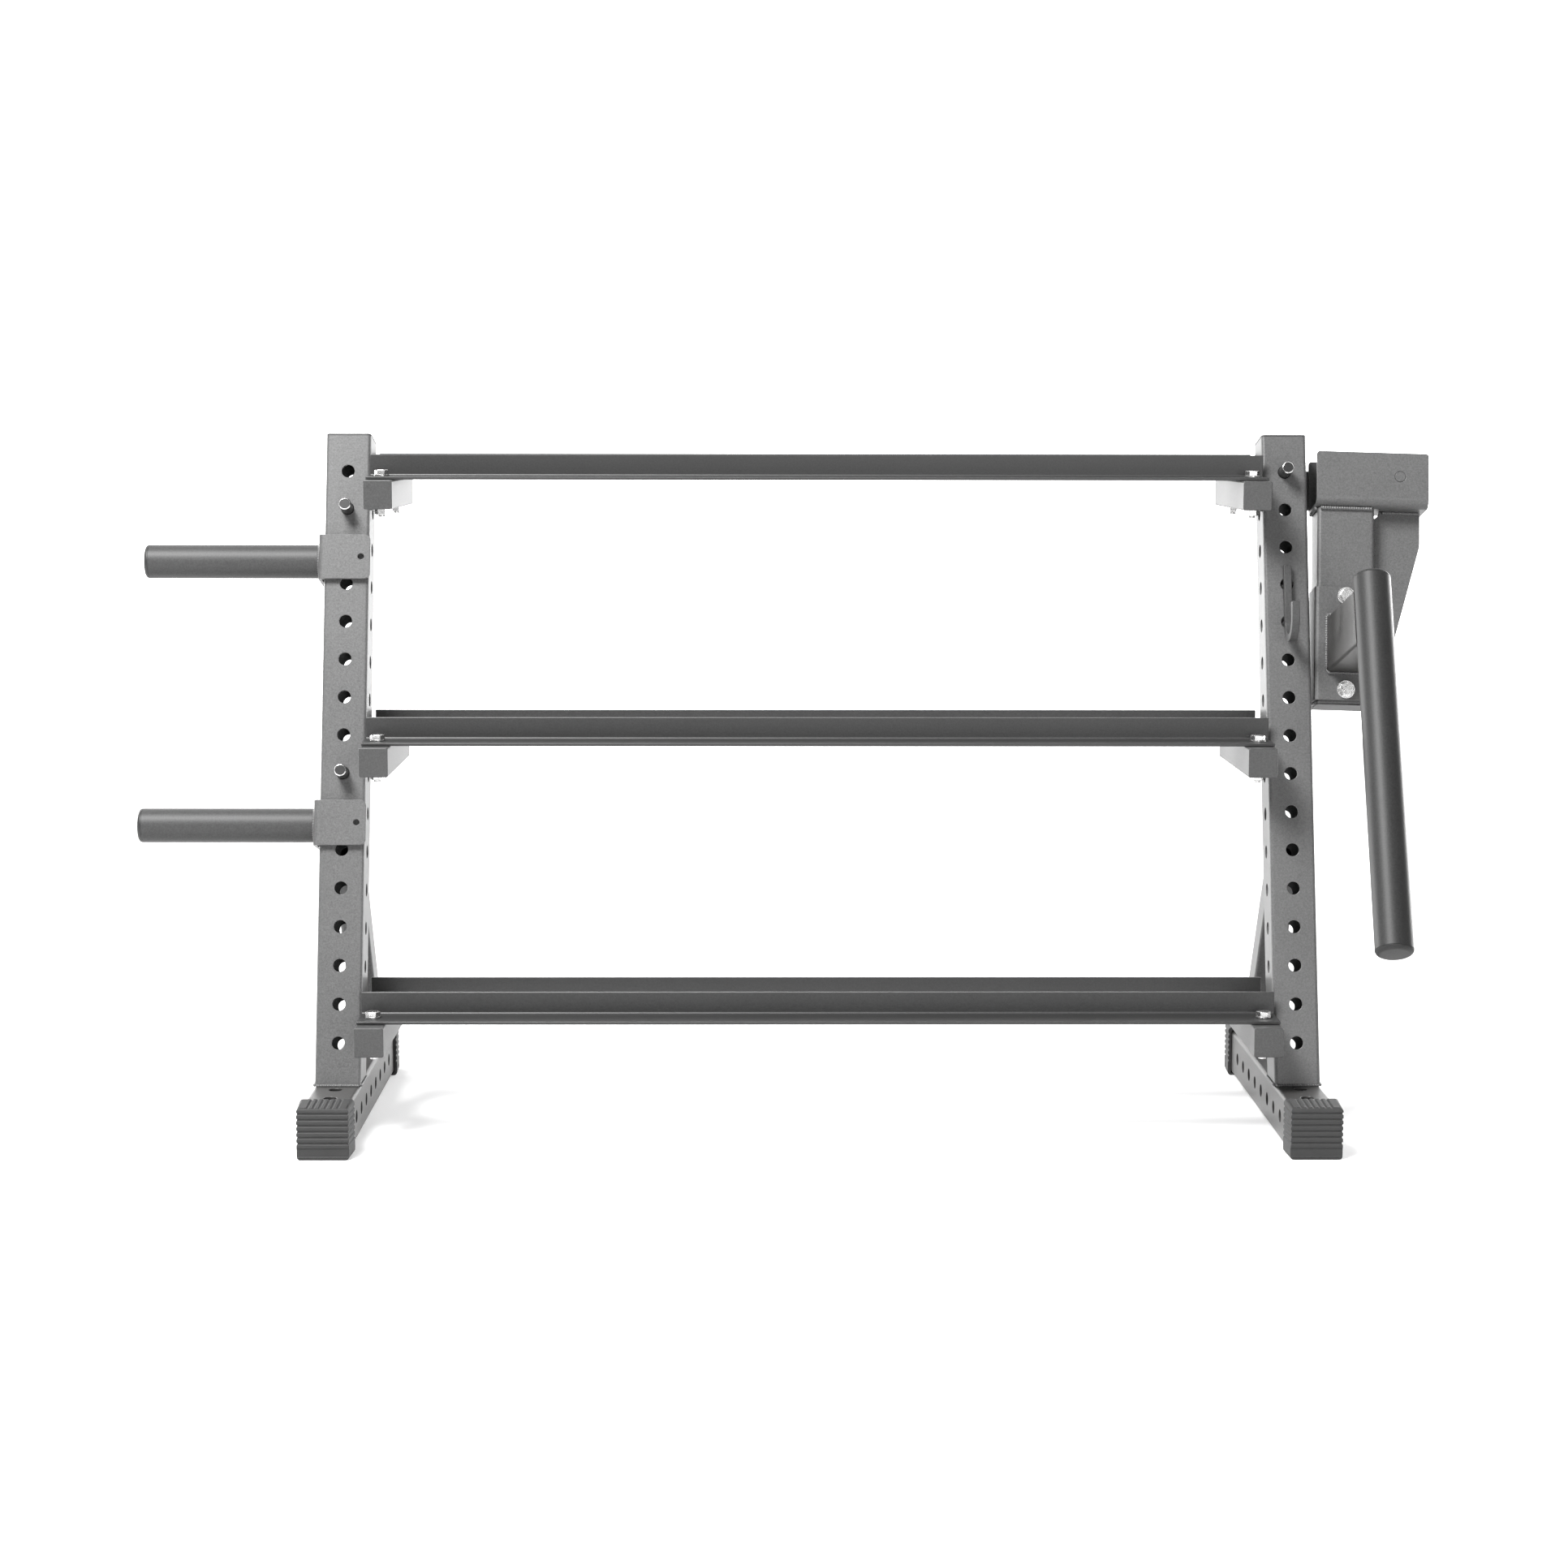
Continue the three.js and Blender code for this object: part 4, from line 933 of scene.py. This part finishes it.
def clamp_and_bar():
    x0, x1, front, bend = CHANNEL_START, POST_RIGHT, 1.7, 6
    thick, wrap = 3, 49.7
    outline = [(x1, front)] + arc(x0 + bend, front + bend, bend, -90, -90)
    outline += [(x0, wrap), (x0 + thick, wrap)]
    outline += arc(x0 + bend, front + bend, bend - thick, 180, 90) + [(x1, front + thick)]
    plate = extruded(outline, -306, -153)
    plate = bore(plate, (POST_MIDDLE, 2, LOW_BOLT), (0, 0, BOLT_STEP), 2, "Y",
                 radius=BOLT_HOLE, length=20, sides=24)
    plate.materials.clear()
    plate.materials.append(POWDER)
    plate.materials.append(BLACK_OXIDE_AND_PAINTED_SHADE)
    # Faces turned to -X, the clamp's left flange, get the near-black finish: painted shade and a
    # painted reflection of the shaded upright beside it
    for face in plate.polygons:
        face.material_index = int(face.normal.x < -0.9)
    piece("clamp_plate", plate, BODY, ["attachment_clamp"], ATTACHED, finish=None, bevel=0.5)
    seats = points_mesh([(POST_MIDDLE, 1.4, z) for z in (LOW_BOLT + BOLT_STEP, LOW_BOLT)])
    bolts = grow(FASTENERS, seats, washer_radius=12.0, grip=53.9, tail=2.0,
                 turn=(math.pi / 2, 0, 0), finish=ZINC)
    piece("clamp_bolts", bolts, BODY, ["attachment_bolt_upper", "attachment_bolt_lower"],
          ATTACHED, finish=ZINC, bevel=0.25, segments=1)

    top = Vector((POST_MIDDLE, -170, -171))
    bottom = Vector((POST_MIDDLE, -325, -668))
    along = bottom - top
    length = along.length
    stand = at(*top, Vector((0, 0, 1)).rotation_difference(along).to_matrix().to_4x4())
    strut = extruded(rounded(59.3, 109.3, -268, -193, 4), -325, 1.4, "Y")
    bore_out = extruded(rounded(62.3, 106.3, -265, -196, 2), -330, 10, "Y")
    bar_space = moved(turned([(0, -60), (24.05, -60), (24.05, length), (0, length)]), stand)
    slope = 155 / 497
    ahead = extruded([(-170 - (-171 + 308) * slope, -308), (-400, -308), (-400, -150),
                      (-170 - (-171 + 150) * slope, -150)], 50, 120, "X")
    strut = carve(strut, bore_out, bar_space, ahead)
    # The strut's dark coat is painted shade of the rope and rack beside it
    piece("strut_tube", strut, BODY, ["attachment_strut"], ATTACHED, finish=FOOT_COAT_PAINTED_SHADE,
          bevel=0.4)
    tube = turned([(0, 5.3), (23.75, 5.3), (23.75, length - 5.3), (0, length - 5.3)], 72)
    tube = carve(tube, turned([(0, 0), (20.75, 0), (20.75, length), (0, length)], 48))
    piece("roller_tube", moved(tube, stand), BODY, ["roller_bar"], ATTACHED, finish=BAR_SKIN,
          bevel=0.3)

    def plug(start, sign):
        shape = [(0, 0), (17.0, 0), (19.6, 0.5), (21.6, 1.6), (23.0, 3.2), (23.5, 4.6), (23.5, 5),
                 (20.4, 5), (20.4, 17), (0, 17)]
        return moved(turned([(r, start + sign * h) for r, h in shape], 72), stand)
    piece("roller_plug_top", plug(0, 1), BODY, ["roller_bar_cap_top"], ATTACHED, finish=BAR_SKIN)
    piece("roller_plug_bottom", plug(length, -1), BODY, ["roller_bar_cap_bottom"], ATTACHED,
          finish=BAR_SKIN)
    edge = [(58.2, 0.4, -266), (58.2, 0.4, -195), (61, 0.4, -191.6), (107.5, 0.4, -191.6),
            (110.4, 0.4, -195), (110.4, 0.4, -266), (107.5, 0.4, -269.4), (61, 0.4, -269.4),
            (58.2, 0.4, -266)]
    weld("strut_welds", [edge], BODY, place=ATTACHED, radius=2.4, seed=12.0)
    flanks = [[(x, -170 - (-171 - z) * slope + 9.6, z) for z in (-266, -195)]
              for x in (61.2, 107.4)]
    weld("bar_welds", flanks, BODY, place=ATTACHED, radius=2.0, seed=15.0)


channel()
post()
clamp_and_bar()


# Accessory hook -----------------------------------------------------------

def accessory_hook():
    x = HALF - TUBE / 2
    upper, lower = hole_height(HOLE_COUNT - 4), hole_height(HOLE_COUNT - 5)
    bend = lower + 1
    y = -5.3
    path = [(x, y, upper + 24), (x, y, bend - 28), (x, y - 56, bend - 28), (x, y - 56, bend + 15)]
    bar = grow(BENT_BAR, path_mesh(path), bar_size=10.0, bend_radius=27.5, bend_steps=18,
               finish=SHELF_COAT_PAINTED_SHADE)
    prong = [(0, y), (4.9, y), (4.9, 24), (4.1, 25), (0, 25)]
    for height in (upper, lower):
        bar = carve(bar, moved(turned(prong, 40), at(x, 0, height, ALONG_Y)), how="UNION")
    piece("hook_bar", bar, "accessory_hook", ["accessory_hook"], LEANING, finish=SHELF_COAT_PAINTED_SHADE,
          bevel=0.7, segments=2)


accessory_hook()


# Floor, light and camera ----------------------------------------------------

def glowing_paper(name, glow_low, glow_high, low, high, white=0.86):
    """White studio paper lit from behind, its glow fading with height."""
    material, net = new_finish(name)
    drift = noise(net, 0.6, 2.0)
    place = net.node("ShaderNodeTexCoord", out="Object")
    height = net.node("ShaderNodeSeparateXYZ", sockets={0: place}, out=2)
    share = ((height - low) / (high - low)).call("MAXIMUM", 0).call("MINIMUM", 1)
    glow = blend(net, share, shade(glow_low), shade(glow_high))
    shader = net.node("ShaderNodeBsdfPrincipled", sockets={
        "Base Color": blend(net, drift, shade(white - 0.02), shade(white + 0.02)),
        "Roughness": 0.95,
        "Emission Color": glow, "Emission Strength": 1.0})
    net.node("ShaderNodeOutputMaterial", sockets={"Surface": shader})
    return material


def sheet(name, corners, material):
    mesh = bpy.data.meshes.new(name)
    mesh.from_pydata(corners, [], [tuple(range(len(corners)))])
    mesh.materials.append(material)
    in_scene(mesh, name)


def studio():
    sheet("floor_sheet", [(-12, -9, 0), (12, -9, 0), (12, 5, 0), (-12, 5, 0)],
          glowing_paper("floor_paper", 0.4, 0.4, 0, 1, 0.6))
    sheet("backdrop_sheet", [(-12, 5, -0.2), (12, 5, -0.2), (12, 5, 9), (-12, 5, 9)],
          glowing_paper("backdrop_paper", 2.2, 1.15, 0.9, 1.6))

    world = bpy.data.worlds.new("studio_air")
    bpy.context.scene.world = world
    world.use_nodes = True
    world.node_tree.nodes["Background"].inputs[0].default_value = (1, 1, 1, 1)
    world.node_tree.nodes["Background"].inputs[1].default_value = 0.2

    def lamp(name, place, aim, size, power):
        light = bpy.data.lights.new(name, "AREA")
        light.shape = "RECTANGLE"
        light.size, light.size_y = size
        light.energy = power
        obj = bpy.data.objects.new(name, light)
        obj.location = place
        obj.rotation_mode = "QUATERNION"
        obj.rotation_quaternion = (Vector(aim) - Vector(place)).to_track_quat("-Z", "Y")
        bpy.context.scene.collection.objects.link(obj)
    lamp("key", (-1.7, -2.2, 4.2), (-0.1, 0, 0.5), (1.8, 1.8), 560)
    lamp("fill", (1.2, -5.0, 1.4), (0, 0, 0.5), (2.0, 2.0), 45)
    lamp("rear_left", (-3.0, 2.6, 0.9), (0, 0, 0.5), (1.2, 1.6), 95)
    lamp("rear_right", (3.0, 2.6, 0.9), (0, 0, 0.5), (1.2, 1.6), 120)


def camera():
    """Long lens, almost level with the top shelf and a little left of the centre line."""
    home = HOME.translation * MM
    data = bpy.data.cameras.new("camera")
    data.lens = 71.4
    data.sensor_width = 36.0
    data.clip_end = 60
    obj = bpy.data.objects.new("camera", data)
    obj.location = (home.x - 0.0831, home.y - 3.9803, 0.9282)
    yaw, pitch, roll = (math.radians(a) for a in (0.544, 6.704, -0.091))
    turn = (Matrix.Rotation(-yaw, 4, "Z") @ Matrix.Rotation(math.pi / 2 - pitch, 4, "X")
            @ Matrix.Rotation(-roll, 4, "Z"))
    obj.rotation_euler = turn.to_euler()
    bpy.context.scene.collection.objects.link(obj)
    bpy.context.scene.camera = obj


studio()
camera()
bpy.context.scene.view_settings.view_transform = "Standard"
